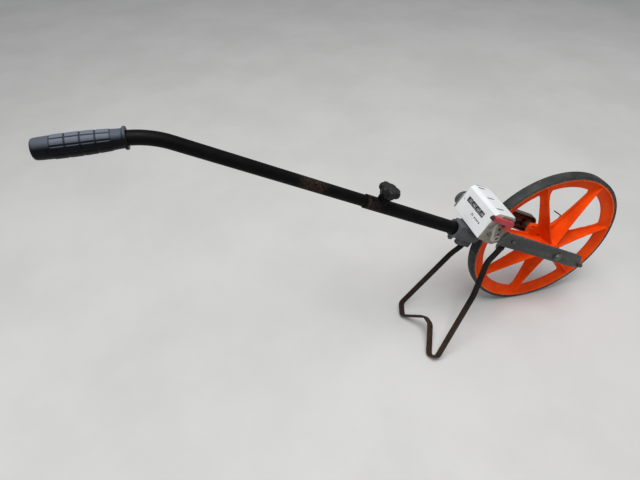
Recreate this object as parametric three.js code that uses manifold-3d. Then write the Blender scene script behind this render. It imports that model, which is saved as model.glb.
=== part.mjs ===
// A measuring wheel standing on its tyre and its kickstand.
// Millimetres, +Z up, standing on z = 0. The axle lies along Y, the handle reaches toward -X
// and the reset lever is on the -Y side. The pieces are drawn with the axle over x = 0, y = 0,
// and the whole part is then set with the middle of its outline over the origin.
// The fork, counter and handle are drawn in a tilted frame whose origin is the axle:
// its X runs along the fork away from the handle and its Z is square to the fork.

import * as THREE from 'three';
import { mergeVertices } from 'three/addons/utils/BufferGeometryUtils.js';
import Module from 'manifold-3d';

const wasm = await Module();
wasm.setup();

// Clearances
const fitGap = 0.3;
const runningGap = 0.6;
const cutOverrun = 1;

// Wheel: one metre round the tread
const treadRound = 1000;
const wheelRadius = treadRound / (2 * Math.PI);
const tyreWidth = 21;
const tyreThickness = 6.7;
const tyreLip = 1.6;
const rimWidth = 20;
const rimThickness = 6.5;
const rimWebDepth = 15.5;
const spokeCount = 7;
const firstSpokeAngle = 2.4;
const spokeTipWidth = 22;
const spokeTipNear = 9;
const spokeTipFar = 9;
const spokeWaistPlace = 66;
const spokeWaistWidth = 18;
const spokeWaistNear = 20;
const spokeWaistFar = 10;
const spokeRootWidth = 26;
const spokeRootNear = 34;
const spokeRootFar = 24;
const spokeRootRadius = 9;
const hubLength = 76;
const hubRadius = 15;
const webRadius = 40;
const webThickness = 5;
const spokeSinkShare = 0.33;
const bossPlace = 58;
const bossSteps = 2.5;
const bossWebWidth = 26;
const bossRadius = 7;
const bossLength = 8;
const bossBore = 3;
const sleeveRadius = 9;

// Axle
const axleRadius = 4;
const axleHeadRadius = 6.5;
const axleHeadHeight = 4;
const axleTail = 5;
const nutRadius = 8;
const nutHeight = 6;
const washerRadius = 8.5;
const washerThickness = 1.2;
const bushRadius = 8;
const bushLength = 13;
const bushFlangeRadius = 12;
const bushFlangeThickness = 1.6;
const spacerRadius = 6.6;

// Fork and near arm
const frameTilt = 28.4;
const forkHalfGap = 50.3;
const armThickness = 4;
const armWidth = 30;
const armRise = 2.5;
const armNose = 72;
const armTailGap = 2;
const armScrewReach = 30.2;
const armPlugRadius = 4.5;
const armPlugLength = 13;
const armPlugDrop = 4;

// Counter base, a channel with an end plate at each side
const tyreToCounter = 6;
const counterDepth = 45;
const counterFloorDrop = 12;
const counterFloorThickness = 5;
const counterHeight = 46;
const coverFall = 2.5;
const plateThickness = 4;
const plateStep = 24;
const plateHeight = 43.5;
const plateChamfer = 9;
const plateSetback = 7;
const farPlateScrewRise = 33;
const eyeRadius = 5.5;
const eyeBore = 3.4;
const eyeDrop = 3;
const eyeInset = 8;
const eyeProud = 0.9;
const floorSetback = 5;
const plateScrewInset = 13.5;
const plateScrewRise = 1.5;
const earReach = 42;
const earHalfWidth = 11;

// Counter cover
const coverWall = 2;
const coverBevel = 6;
const windowCount = 4;
const windowPitch = 14.2;
const windowWidth = 11.2;
const windowHeight = 7.8;
const windowRise = 20;
const windowShift = 3.2;
const lensThickness = 1.2;
const lensBorder = 3;
const coverSkirt = 3.2;
const groovePitch = 33.2;
const grooveShift = 4.6;
const grooveInset = 10.4;
const grooveLength = 17;
const grooveWidth = 2.2;
const grooveDepth = 0.9;

// Number drums, pinions and the belt drive
const drumRadius = 13.4;
const drumWidth = 12.8;
const drumShaftRadius = 2.5;
const pinionRadius = 5;
const pinionWidth = 6;
const pinionTeeth = 8;
const pinionToothWidth = 1.4;
const pinionCoreShare = 0.68;
const pinionAngle = 24;
const pinionShaftRadius = 1.5;
const inputInset = 17.7;
const inputRise = 3;
const gearWidth = 4.2;
const gearToothDepth = 1.6;
const gearToothWidth = 1.3;
const gearTeeth = 14;
const pulleyRadius = 10.4;
const pulleyFlange = 2;
const pulleyWidth = 7.5;
const beltThickness = 2;
const beltWidth = 5;

// Far arm: a hollow cover round the belt
const housingDepth = 12.5;
const housingWall = 2.2;
const housingNoseRadius = 20;
const housingTailRadius = 15.6;
const housingBossRadius = 9;
const housingBossHeight = 1.2;
const pointerRadius = 1.3;
const pointerFoot = 17.4;
const pointerFootRise = -3.2;
const pointerElbowRise = 7;
const pointerBend = 69;
const pointerBendRise = 43;
const pointerTip = 41;
const pointerTipRise = 48;

// Reset lever
const leverThickness = 8.5;
const leverOverhang = 15;
const leverReach = 54;
const leverHeight = 9;
const leverPivotInset = 32.2;
const leverPivotRise = 35.5;
const leverPinRadius = 2;
const leverPinCover = 2;
const leverSpringRadius = 4.2;
const leverSpringWidth = 3.5;

// Handle
const handleDrop = 33;
const lowerTubeRadius = 12.25;
const lowerTubeWall = 1.6;
const lowerTubeLength = 251.7;
const socketDepth = 46;
const socketOverhang = 15.8;
const socketWall = 5.2;
const socketWaistShare = 0.82;
const socketRibStart = 28.5;
const socketRibDrop = 30;
const setScrewInset = 8.3;
const setScrewProud = 2.6;
const socketFlangeHalf = 19.4;
const socketFlangeThickness = 5;
const upperTubeRadius = 10.25;
const upperTubeWall = 1.5;
const upperTubeInside = 74;
const handleHeight = 503.3;
const bendTangent = 32;
const guideHeadLength = 7.7;
const guidePlugLength = 14.3;

// Grip
const gripLength = 115;
const gripRadius = 15.7;
const gripNeckRadius = 13;
const gripFlangeChamfer = 1.2;
const gripFlangeRadius = 15.6;
const gripFlangeThickness = 6;
const gripEndThickness = 3.5;
const gripInset = 6;

// Clamp
const clampInset = 32;
const clampBossRadius = 11;
const clampBossHeight = 8;
const clampScrewRadius = 3;
const knobRadius = 20;
const knobHeadHeight = 12;
const knobSkirtRadius = 13.5;
const knobSkirtHeight = 6;
const knobLobes = 7;
const knobLobeDepth = 1.6;
const knobLobeSteps = 8;

// Kickstand, one flat strip bent the easy way
const standPivotReach = 21.7;
const standPivotDrop = 19;
const standLugRadius = 8;
const standLugThickness = 4;
const standStripWidth = 14;
const standStripThickness = 4;
const standFarPivot = 22;
const standFootReach = 150.2;
const standFootTwistShare = 0.132;
const standTwistMiddle = 39;
const standNearSpread = 121.8;
const standFarSpread = 26.2;
const standFootLength = 24.8;
const standNotchRise = 40.5;
const standNotchWidth = 19.7;
const standNotchShift = 48.6;
const standBoltRadius = 3;
const standNutHeight = 3.1;
const standStopRadius = 2.2;

// Screws
const screwHeadRadius = 4;
const screwHeadHeight = 2.4;
const screwRadius = 2;
const screwLength = 9;
const screwSlotDepth = 0.8;
const screwSlotWidth = 0.6;

// Roundness
const fineSides = 64;
const roundSides = 28;
const smallSides = 16;

// Places that follow from the sizes above
const counterFront = -(wheelRadius + tyreToCounter);
const counterRear = counterFront - counterDepth;
const counterMiddle = (counterFront + counterRear) / 2;
const armScrewX = counterFront + armScrewReach;
const plateOuter = forkHalfGap - fitGap;
const plateInner = plateOuter - plateThickness;
const armOuter = forkHalfGap + armThickness;
const coverHalfLength = plateInner - fitGap;
const floorUnder = -counterFloorDrop - counterFloorThickness;
const lensBack = counterRear + coverWall + fitGap + lensThickness;
const drumPlace = lensBack + fitGap + drumRadius;
const pinionSpan = drumRadius + pinionRadius + fitGap;
const pinionSide = THREE.MathUtils.degToRad(pinionAngle);
const pinionPlace = drumPlace + pinionSpan * Math.cos(pinionSide);
const pinionRise = windowRise - pinionSpan * Math.sin(pinionSide);
const inputX = counterRear + inputInset;
const gearSpan = Math.hypot(drumPlace - inputX, windowRise - inputRise);
const gearLean = -THREE.MathUtils.radToDeg(Math.atan2(windowRise - inputRise, drumPlace - inputX));
const gearNear = coverHalfLength - coverWall - runningGap - gearWidth;
const hubHalf = hubLength / 2;
const rimRadius = wheelRadius - tyreThickness;
const rimInner = rimRadius - rimThickness;
const housingOuter = forkHalfGap + housingDepth;
const housingFloor = housingOuter - housingWall;
const pulleyMiddle = forkHalfGap + runningGap + pulleyWidth / 2;
const boreRadius = axleRadius + fitGap;
const tilt = THREE.MathUtils.degToRad(frameTilt);

// Materials
const finish = (color, roughness, metalness = 0) =>
  new THREE.MeshStandardMaterial({ color, roughness, metalness });
const orangePlastic = finish(0xe25a1c, 0.42);
const blackRubber = finish(0x2b2d2f, 0.85);
const darkPaint = finish(0x4a4d50, 0.55, 0.3);
const blackPaint = finish(0x17181a, 0.4, 0.3);
const castMetal = finish(0x9a958b, 0.5, 0.7);
const darkCasting = finish(0x5b5f66, 0.55, 0.5);
const brightSteel = finish(0xb9bbb8, 0.3, 1);
const whitePlastic = finish(0xe6e8ea, 0.5);
const clearPlastic = finish(0xdfe6ea, 0.1);
const blackPlastic = finish(0x232426, 0.5);
const redPlastic = finish(0xc8323f, 0.45);
const beltRubber = finish(0x1d1d1d, 0.8);
const bearingPlastic = finish(0xd8d2bd, 0.5);
const rustyPaint = finish(0x2c241d, 0.7, 0.3);

// Turning closed geometry into solids and back

function solid(geometry) {
  const bare = geometry.clone();
  bare.deleteAttribute('normal');
  bare.deleteAttribute('uv');
  const merged = mergeVertices(bare, 1e-4);
  return new wasm.Manifold(new wasm.Mesh({
    numProp: 3,
    vertProperties: Float32Array.from(merged.attributes.position.array),
    triVerts: Uint32Array.from(merged.index.array),
  }));
}

function surface(body) {
  const mesh = body.getMesh();
  const geometry = new THREE.BufferGeometry();
  geometry.setAttribute('position', new THREE.BufferAttribute(mesh.vertProperties, 3));
  geometry.setIndex(new THREE.BufferAttribute(mesh.triVerts, 1));
  geometry.computeVertexNormals();
  return geometry;
}

const join = (first, ...rest) => rest.reduce((body, extra) => body.add(extra), first);
const cut = (first, ...tools) => tools.reduce((body, tool) => body.subtract(tool), first);

// Shapes

function block(x0, x1, y0, y1, z0, z1) {
  const box = new THREE.BoxGeometry(x1 - x0, y1 - y0, z1 - z0);
  box.translate((x0 + x1) / 2, (y0 + y1) / 2, (z0 + z1) / 2);
  return solid(box);
}

// A round bar along Y
function barY(radius, y0, y1, x = 0, z = 0, sides = smallSides) {
  const bar = new THREE.CylinderGeometry(radius, radius, y1 - y0, sides);
  bar.translate(x, (y0 + y1) / 2, z);
  return solid(bar);
}

// A round bar along X
function barX(radius, x0, x1, y = 0, z = 0, sides = smallSides) {
  const bar = new THREE.CylinderGeometry(radius, radius, x1 - x0, sides);
  bar.rotateZ(Math.PI / 2);
  bar.translate((x0 + x1) / 2, y, z);
  return solid(bar);
}

// A round bar along Z
function barZ(radius, z0, z1, x = 0, y = 0, sides = smallSides) {
  const bar = new THREE.CylinderGeometry(radius, radius, z1 - z0, sides);
  bar.rotateX(Math.PI / 2);
  bar.translate(x, y, (z0 + z1) / 2);
  return solid(bar);
}

const ringY = (outer, inner, y0, y1, x = 0, z = 0, sides = roundSides) =>
  cut(barY(outer, y0, y1, x, z, sides), barY(inner, y0 - cutOverrun, y1 + cutOverrun, x, z, sides));

// A closed profile of [radius, y] points, counter-clockwise, turned round the Y axis
function turnedY(profile, sides = fineSides) {
  const points = profile.map(([radius, y]) => new THREE.Vector2(radius, y));
  points.push(points[0].clone());
  return solid(new THREE.LatheGeometry(points, sides));
}

// An outline in the X-Z plane, given a thickness along Y
function plateY(shape, y0, y1) {
  const plate = new THREE.ExtrudeGeometry(shape, {
    depth: y1 - y0, bevelEnabled: false, curveSegments: 10,
  });
  plate.rotateX(Math.PI / 2);
  plate.translate(0, y1, 0);
  return solid(plate);
}

const outline = (points) => new THREE.Shape(points.map(([x, z]) => new THREE.Vector2(x, z)));

// A skin over rings that have the same number of points, closed at both ends
function skinned(rings) {
  const count = rings[0].length;
  const ends = [rings[0], rings[rings.length - 1]].map((ring) =>
    ring.reduce((sum, point) => sum.add(point), new THREE.Vector3()).divideScalar(count));
  const index = [];
  for (let r = 0; r < rings.length - 1; r += 1) {
    for (let i = 0; i < count; i += 1) {
      const a = r * count + i;
      const b = r * count + (i + 1) % count;
      index.push(a, b + count, b);
      index.push(a, a + count, b + count);
    }
  }
  const last = (rings.length - 1) * count;
  const centre = rings.length * count;
  for (let i = 0; i < count; i += 1) {
    const next = (i + 1) % count;
    index.push(centre, i, next);
    index.push(centre + 1, last + next, last + i);
  }
  const geometry = new THREE.BufferGeometry();
  const flat = [...rings.flat(), ...ends].flatMap((point) => point.toArray());
  geometry.setAttribute('position', new THREE.Float32BufferAttribute(flat, 3));
  geometry.setIndex(index);
  return solid(geometry);
}

// The slot-shaped outline round two circles in the X-Z plane
function beltOutline(x0, z0, r0, x1, z1, r1) {
  const lean = Math.atan2(z1 - z0, x1 - x0);
  const spread = Math.acos((r0 - r1) / Math.hypot(x1 - x0, z1 - z0));
  const shape = new THREE.Shape();
  shape.absarc(x0, z0, r0, lean + spread, lean - spread + 2 * Math.PI, false);
  shape.absarc(x1, z1, r1, lean - spread, lean + spread, false);
  return shape;
}

function hexagonY(radius, y0, y1, x = 0, z = 0) {
  return barY(radius, y0, y1, x, z, 6);
}

// The tree of meshes
const wheelSet = new THREE.Group();
wheelSet.position.set(0, 0, wheelRadius);
const frame = new THREE.Group();
frame.position.set(0, 0, wheelRadius);
frame.rotation.y = tilt;
const standSet = new THREE.Group();
const handleEnd = new THREE.Group();
const part = new THREE.Group();
part.add(wheelSet, frame, standSet, handleEnd);

function piece(parent, name, body, material) {
  const mesh = new THREE.Mesh(surface(body), material);
  mesh.name = name;
  parent.add(mesh);
  return mesh;
}

// Wheel moulding: rim, ridged spokes, web and hub in one piece

// Across and depth of a spoke's section, a flat web with a fin, as shares of its half width
// and of its depth on that side
const spokeSectionShares = [
  [1, 0.12], [0.36, 0.2], [0.14, 1], [-0.14, 1], [-0.36, 0.2], [-1, 0.12],
  [-1, -0.12], [-0.36, -0.2], [-0.14, -1], [0.14, -1], [0.36, -0.2], [1, -0.12],
];
function spoke() {
  const ring = (radius, width, near, far) => spokeSectionShares.map(([across, deep]) =>
    new THREE.Vector3(radius, deep * (deep < 0 ? near : far), across * width / 2));
  return skinned([
    ring(spokeRootRadius, spokeRootWidth, spokeRootNear, spokeRootFar),
    ring(spokeWaistPlace, spokeWaistWidth, spokeWaistNear, spokeWaistFar),
    ring(rimInner + rimThickness * spokeSinkShare, spokeTipWidth, spokeTipNear, spokeTipFar),
  ]);
}

function wheelMoulding() {
  const half = rimWidth / 2;
  const rim = turnedY([
    [rimRadius, -half],
    [rimRadius, half],
    [rimInner, half],
    [rimInner - rimWebDepth, 0],
    [rimInner, -half],
  ]);
  const step = 360 / spokeCount;
  const arms = [];
  for (let i = 0; i < spokeCount; i += 1) arms.push(spoke().rotate([0, -firstSpokeAngle - i * step, 0]));
  const hub = barY(hubRadius, -hubHalf, hubHalf, 0, 0, roundSides);
  const web = barY(webRadius, -webThickness / 2, webThickness / 2, 0, 0, roundSides);
  const bossAngle = THREE.MathUtils.degToRad(firstSpokeAngle + step * bossSteps);
  const bossX = bossPlace * Math.cos(bossAngle);
  const bossZ = bossPlace * Math.sin(bossAngle);
  const boss = barY(bossRadius, -bossLength / 2, bossLength / 2, bossX, bossZ);
  const bossWeb = block(0, bossPlace, -webThickness / 2, webThickness / 2, -bossWebWidth / 2, bossWebWidth / 2)
    .rotate([0, -THREE.MathUtils.radToDeg(bossAngle), 0]);
  const bossHole = barY(bossBore, -bossLength, bossLength, bossX, bossZ);
  const bore = barY(bushRadius + fitGap, -hubLength, hubLength, 0, 0, roundSides);
  return cut(join(rim, ...arms, hub, web, bossWeb, boss), bossHole, bore);
}
piece(wheelSet, 'wheel_moulding', wheelMoulding(), orangePlastic);

const tyreHalf = tyreWidth / 2;
const tyreInner = rimRadius + fitGap;
piece(wheelSet, 'tyre', turnedY([
  [tyreInner, -tyreHalf],
  [wheelRadius - tyreLip, -tyreHalf],
  [wheelRadius, -tyreHalf + tyreLip],
  [wheelRadius, tyreHalf - tyreLip],
  [wheelRadius - tyreLip, tyreHalf],
  [tyreInner, tyreHalf],
], fineSides), blackRubber);

// Hub bushes: a flanged one at the near end and a plain one at the far end
const bushFlangeFace = hubHalf + fitGap + bushFlangeThickness;
const nearBush = cut(
  join(
    barY(bushRadius, -hubHalf - fitGap - bushFlangeThickness / 2, -hubHalf + bushLength, 0, 0, roundSides),
    barY(bushFlangeRadius, -bushFlangeFace, -hubHalf - fitGap, 0, 0, roundSides),
  ),
  barY(boreRadius, -hubLength, 0, 0, 0, roundSides),
);
piece(wheelSet, 'near_hub_bush', nearBush, bearingPlastic);
piece(wheelSet, 'far_hub_bush', ringY(bushRadius, boreRadius, hubHalf - bushLength, hubHalf), bearingPlastic);

// Hub pulley on a sleeve against the far end of the hub
function pulley(axisX, axisZ, bore) {
  const half = pulleyWidth / 2;
  const groove = pulleyRadius - beltThickness / 2;
  const wheel = turnedY([
    [bore, -half],
    [pulleyRadius + pulleyFlange, -half],
    [pulleyRadius + pulleyFlange, -beltWidth / 2 - fitGap],
    [groove, -beltWidth / 2 - fitGap],
    [groove, beltWidth / 2 + fitGap],
    [pulleyRadius + pulleyFlange, beltWidth / 2 + fitGap],
    [pulleyRadius + pulleyFlange, half],
    [bore, half],
  ], roundSides);
  return wheel.translate([axisX, pulleyMiddle, axisZ]);
}
const pulleyBore = spacerRadius + fitGap;
const hubSleeve = ringY(sleeveRadius, pulleyBore, hubHalf + fitGap, pulleyMiddle);
piece(wheelSet, 'hub_pulley', join(pulley(0, 0, pulleyBore), hubSleeve), blackPlastic);

// Axle parts, which stand still with the fork
const axleTip = housingOuter + fitGap + washerThickness + fitGap + nutHeight + axleTail;
const washerOuter = armOuter + fitGap + washerThickness;
const axleHeadFace = -washerOuter - fitGap;
const domeShares = [[0, 1], [0.5, 0.9], [0.85, 0.55], [1, 0], [0, 0]];
const axleHead = turnedY(domeShares.map(([across, high]) =>
  [axleHeadRadius * across, axleHeadFace - axleHeadHeight * high]), roundSides);
const axleShank = barY(axleRadius, axleHeadFace - axleHeadHeight / 2, axleTip, 0, 0, roundSides);
piece(frame, 'axle_bolt', join(axleHead, axleShank), brightSteel);
piece(frame, 'near_axle_washer', ringY(washerRadius, boreRadius, -washerOuter, -armOuter - fitGap), brightSteel);
piece(frame, 'far_axle_washer',
  ringY(washerRadius, boreRadius, housingOuter + fitGap, housingOuter + fitGap + washerThickness), brightSteel);
const nutFace = housingOuter + 2 * fitGap + washerThickness;
piece(frame, 'axle_nut',
  cut(hexagonY(nutRadius, nutFace, nutFace + nutHeight), barY(boreRadius, nutFace - cutOverrun, axleTip)), brightSteel);
piece(frame, 'near_axle_spacer',
  ringY(spacerRadius, boreRadius, -forkHalfGap + fitGap, -bushFlangeFace - fitGap), brightSteel);
const housingBossFace = housingFloor - housingBossHeight;
piece(frame, 'far_axle_spacer',
  ringY(spacerRadius, boreRadius, hubHalf + fitGap, housingBossFace - fitGap), brightSteel);

// Near arm: a flat bar with a clipped nose
const armTail = counterFront + armTailGap;
const armTop = armRise + armWidth / 2;
const armBottom = armRise - armWidth / 2;
const armHoles = [[0, 0, axleRadius], [armScrewX, armRise, screwRadius]];
// Outline of the nose, back from the tip and up from the lower edge, as shares of the arm's width
const armNoseShares = [[0.2, 0], [0, 0.18], [0.03, 0.65], [0.4, 1]];
const armBar = plateY(outline([
  [armTail, armBottom],
  ...armNoseShares.map(([back, up]) => [armNose - armWidth * back, armBottom + armWidth * up]),
  [armTail, armTop],
]), -armOuter, -forkHalfGap);
piece(frame, 'near_arm', cut(armBar, ...armHoles.map(([x, z, radius]) =>
  barY(radius + fitGap, -armOuter - cutOverrun, -forkHalfGap + cutOverrun, x, z))), darkPaint);

// A black plug closes the nose of the arm
piece(frame, 'arm_nose_plug', barX(
  armPlugRadius, armNose + fitGap, armNose + armPlugLength,
  -forkHalfGap - armThickness / 2, armBottom + armPlugRadius + armPlugDrop,
), blackRubber);

// Screws along Y whose heads face -Y (side -1) or +Y (side 1)
function screwY(side, face, x, z, length = screwLength, radius = screwRadius) {
  const head = face + side * fitGap;
  const tip = head - side * length;
  const crown = head + side * screwHeadHeight;
  const low = Math.min(head, crown);
  const high = Math.max(head, crown);
  const root = (head + crown) / 2;
  const shank = barY(radius, Math.min(tip, root), Math.max(tip, root), x, z);
  const slotFloor = crown - side * screwSlotDepth;
  const slotTop = crown + side * cutOverrun;
  const slot = block(
    x - screwHeadRadius, x + screwHeadRadius, Math.min(slotFloor, slotTop), Math.max(slotFloor, slotTop),
    z - screwSlotWidth / 2, z + screwSlotWidth / 2,
  );
  return cut(join(barY(screwHeadRadius, low, high, x, z), shank), slot);
}
const holeY = (y0, y1, x, z, radius = screwRadius) =>
  barY(radius + fitGap, y0 - cutOverrun, y1 + cutOverrun, x, z);
piece(frame, 'near_arm_screw', screwY(-1, -armOuter, armScrewX, armRise), brightSteel);

// Counter base: floor, two end plates with ears along the wheel, and the lugs for the stand
const standX = counterFront + standPivotReach;
const standZ = -standPivotDrop;
const leverX = counterRear + leverPivotInset;
const plateScrewX = counterRear + plateScrewInset;
const eyeX = counterFront - eyeInset;
const plateScrewZ = plateScrewRise;
const eyeZ = -eyeDrop;
const earDrop = -standZ - standStripWidth / 2 - runningGap * 2;

function endPlate(side) {
  const y0 = side < 0 ? -plateOuter : plateInner;
  return plateY(outline([
    [counterRear, floorUnder + plateChamfer / 2],
    [counterRear + plateChamfer * 2, floorUnder],
    [counterFront - plateChamfer, floorUnder],
    [counterFront, -earDrop],
    [counterFront + earReach, -earDrop],
    [counterFront + earReach, earHalfWidth],
    [counterFront, earHalfWidth + armRise],
    [counterFront, plateHeight],
    [counterRear + plateSetback * 2, plateHeight],
    [counterRear + plateSetback, plateHeight - plateSetback],
    [counterRear + plateSetback, plateStep],
    [counterRear, plateStep - plateSetback],
  ]), y0, y0 + plateThickness);
}

// The legs of the stand turn on the outer side of the near lug and the inner side of the far lug
const nearLugOuter = -plateInner + fitGap;
const nearLugInner = nearLugOuter + standLugThickness;
const farLugInner = standFarPivot + standStripThickness / 2 + fitGap;
const farLugOuter = farLugInner + standLugThickness;
const standStopX = standX + standStripWidth / 2 + fitGap + standStopRadius;
const standStopZ = standZ - standStopRadius;
const lugOutline = (top) => outline([
  [standX - standLugRadius, top],
  [standX - standLugRadius, standZ - standLugRadius / 2],
  [standX - standLugRadius / 2, standZ - standLugRadius],
  [standStopX, standZ - standLugRadius],
  [standStopX + standStopRadius + fitGap, standZ - standLugRadius / 2],
  [standStopX + standStopRadius + fitGap, top],
]);
const floorPlate = block(counterRear + floorSetback, counterFront, -plateInner, plateInner, floorUnder, -counterFloorDrop);
const nearLug = join(
  plateY(lugOutline(-earDrop + plateThickness), nearLugOuter, nearLugInner),
  block(standX - standLugRadius, standX + standLugRadius, -plateOuter + fitGap, nearLugInner,
    -earDrop, -earDrop + plateThickness),
);
const farLug = join(
  plateY(lugOutline(-counterFloorDrop), farLugInner, farLugOuter),
  block(counterFront - plateThickness, standX + standLugRadius, farLugInner, farLugOuter,
    floorUnder, -counterFloorDrop),
);
const standStop = barY(standStopRadius, farLugInner - fitGap - standStripThickness, farLugOuter - fitGap,
  standStopX, standStopZ);
const eyeRing = barY(eyeRadius, -plateOuter - eyeProud, -plateInner, eyeX, eyeZ);
const flangeScrewY = socketFlangeHalf - screwHeadRadius;
const baseBody = cut(
  join(floorPlate, endPlate(-1), endPlate(1), nearLug, farLug, standStop, eyeRing),
  holeY(nearLugOuter, nearLugInner, standX, standZ, standBoltRadius),
  holeY(farLugInner, farLugOuter, standX, standZ, standBoltRadius),
  holeY(-plateOuter, -plateInner, armScrewX, armRise),
  holeY(plateInner, plateOuter, armScrewX, armRise),
  holeY(-plateOuter, -plateInner, plateScrewX, plateScrewZ),
  holeY(plateInner, plateOuter, counterMiddle, farPlateScrewRise),
  holeY(-plateOuter, -plateInner, leverX, leverPivotRise, leverPinRadius),
  holeY(-plateOuter - cutOverrun, -plateInner, eyeX, eyeZ, eyeBore),
  holeY(-plateOuter, plateOuter, drumPlace, windowRise, drumShaftRadius),
  holeY(plateInner, plateOuter, inputX, inputRise, drumShaftRadius),
  holeY(-plateOuter, plateOuter, pinionPlace, pinionRise, pinionShaftRadius),
  ...[-flangeScrewY, flangeScrewY].map((y) =>
    barZ(screwRadius + fitGap, floorUnder - cutOverrun, -counterFloorDrop + cutOverrun, counterMiddle, y)),
);
piece(frame, 'counter_base', baseBody, castMetal);

// Counter cover: a hollow lid with four windows and three grooves on top
const coverBottom = -counterFloorDrop + fitGap;
const coverShape = (inset) => outline([
  [counterRear + inset, coverBottom],
  [counterFront - inset, coverBottom],
  [counterFront - inset, counterHeight - inset],
  [counterRear + coverBevel, counterHeight - coverFall - inset],
  [counterRear + inset, counterHeight - coverFall - coverBevel],
]);
const coverInside = plateY(coverShape(coverWall), -coverHalfLength + coverWall, coverHalfLength - coverWall)
  .translate([0, 0, -coverWall]);
const windowPlaces = [];
for (let i = 0; i < windowCount; i += 1) {
  windowPlaces.push(windowShift + ((windowCount - 1) / 2 - i) * windowPitch);
}
const windowCuts = windowPlaces.map((y) => block(
  counterRear - cutOverrun, counterRear + coverWall + cutOverrun,
  y - windowWidth / 2, y + windowWidth / 2,
  windowRise - windowHeight / 2, windowRise + windowHeight / 2,
));
const grooveStart = counterRear + grooveInset;
const grooveCuts = [0, 1, 2].map((i) => {
  const y = grooveShift + (1 - i) * groovePitch;
  return block(grooveStart, grooveStart + grooveLength, y - grooveWidth / 2, y + grooveWidth / 2,
    counterHeight - coverFall - grooveDepth, counterHeight + cutOverrun);
});
const skirt = block(counterRear, counterRear + coverWall, -coverHalfLength, coverHalfLength,
  coverBottom - coverSkirt, coverBottom + coverWall);
const coverBody = cut(
  join(plateY(coverShape(0), -coverHalfLength, coverHalfLength), skirt),
  coverInside,
  ...windowCuts,
  ...grooveCuts,
  holeY(-coverHalfLength, coverHalfLength, drumPlace, windowRise, drumShaftRadius),
  holeY(0, coverHalfLength, inputX, inputRise, drumShaftRadius),
  holeY(-coverHalfLength, coverHalfLength, pinionPlace, pinionRise, pinionShaftRadius),
  holeY(-coverHalfLength, 0, plateScrewX, plateScrewZ),
  holeY(0, coverHalfLength, counterMiddle, farPlateScrewRise),
  holeY(-coverHalfLength, 0, leverX, leverPivotRise, leverPinRadius),
);
piece(frame, 'counter_cover', coverBody, whitePlastic);

const lensHalf = windowPitch * windowCount / 2;
piece(frame, 'counter_lens', block(
  counterRear + coverWall + fitGap, lensBack,
  windowShift - lensHalf, windowShift + lensHalf,
  windowRise - windowHeight / 2 - lensBorder, windowRise + windowHeight / 2 + lensBorder,
), clearPlastic);

piece(frame, 'near_plate_screw', screwY(-1, -plateOuter, plateScrewX, plateScrewZ), brightSteel);
piece(frame, 'far_plate_screw', screwY(1, plateOuter, counterMiddle, farPlateScrewRise), brightSteel);

// Counter shaft with the pulley; the drum of the smallest unit is fixed to it
piece(frame, 'counter_shaft', barY(drumShaftRadius, -plateOuter, plateOuter, drumPlace, windowRise), brightSteel);
piece(frame, 'counter_pulley', pulley(inputX, inputRise, drumShaftRadius + fitGap), blackPlastic);
piece(frame, 'input_shaft',
  barY(drumShaftRadius, gearNear - runningGap, pulleyMiddle + pulleyWidth / 2, inputX, inputRise), brightSteel);

// A pair of equal gears carries the turn from the input shaft to the counter shaft
function gear(x, z, phase) {
  const root = gearSpan / 2 - gearToothDepth / 2 - fitGap / 2;
  const tip = gearSpan / 2 + gearToothDepth / 2 - fitGap / 2;
  const step = 360 / gearTeeth;
  const teeth = [];
  for (let i = 0; i < gearTeeth; i += 1) {
    teeth.push(block(0, tip, gearNear, gearNear + gearWidth, -gearToothWidth / 2, gearToothWidth / 2)
      .rotate([0, (i + phase) * step + gearLean, 0]));
  }
  const core = barY(root, gearNear, gearNear + gearWidth, 0, 0, roundSides);
  const bore = barY(drumShaftRadius + fitGap, gearNear - cutOverrun, gearNear + gearWidth + cutOverrun);
  return cut(join(core, ...teeth), bore).translate([x, 0, z]);
}
piece(frame, 'input_gear', gear(inputX, inputRise, 0), bearingPlastic);
piece(frame, 'counter_gear', gear(drumPlace, windowRise, 0.5), bearingPlastic);
const drumNames = ['thousands_drum', 'hundreds_drum', 'tens_drum', 'units_drum'];
drumNames.forEach((name, i) => {
  const y = windowPlaces[i];
  piece(frame, name, ringY(
    drumRadius, drumShaftRadius + fitGap, y - drumWidth / 2, y + drumWidth / 2, drumPlace, windowRise,
  ), blackPlastic);
});

// Transfer pinions between neighbouring drums
function pinion(y) {
  const teeth = [];
  for (let i = 0; i < pinionTeeth; i += 1) {
    const angle = i * 360 / pinionTeeth;
    teeth.push(block(0, pinionRadius, -pinionWidth / 2, pinionWidth / 2, -pinionToothWidth / 2, pinionToothWidth / 2)
      .rotate([0, angle, 0]));
  }
  const core = barY(pinionRadius * pinionCoreShare, -pinionWidth / 2, pinionWidth / 2);
  const bore = barY(pinionShaftRadius + fitGap, -pinionWidth, pinionWidth);
  return cut(join(core, ...teeth), bore).translate([pinionPlace, y, pinionRise]);
}
const pinionNames = ['thousands_pinion', 'hundreds_pinion', 'tens_pinion'];
pinionNames.forEach((name, i) => {
  piece(frame, name, pinion((windowPlaces[i] + windowPlaces[i + 1]) / 2), bearingPlastic);
});
piece(frame, 'pinion_shaft',
  barY(pinionShaftRadius, -plateOuter, plateOuter, pinionPlace, pinionRise), brightSteel);

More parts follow.
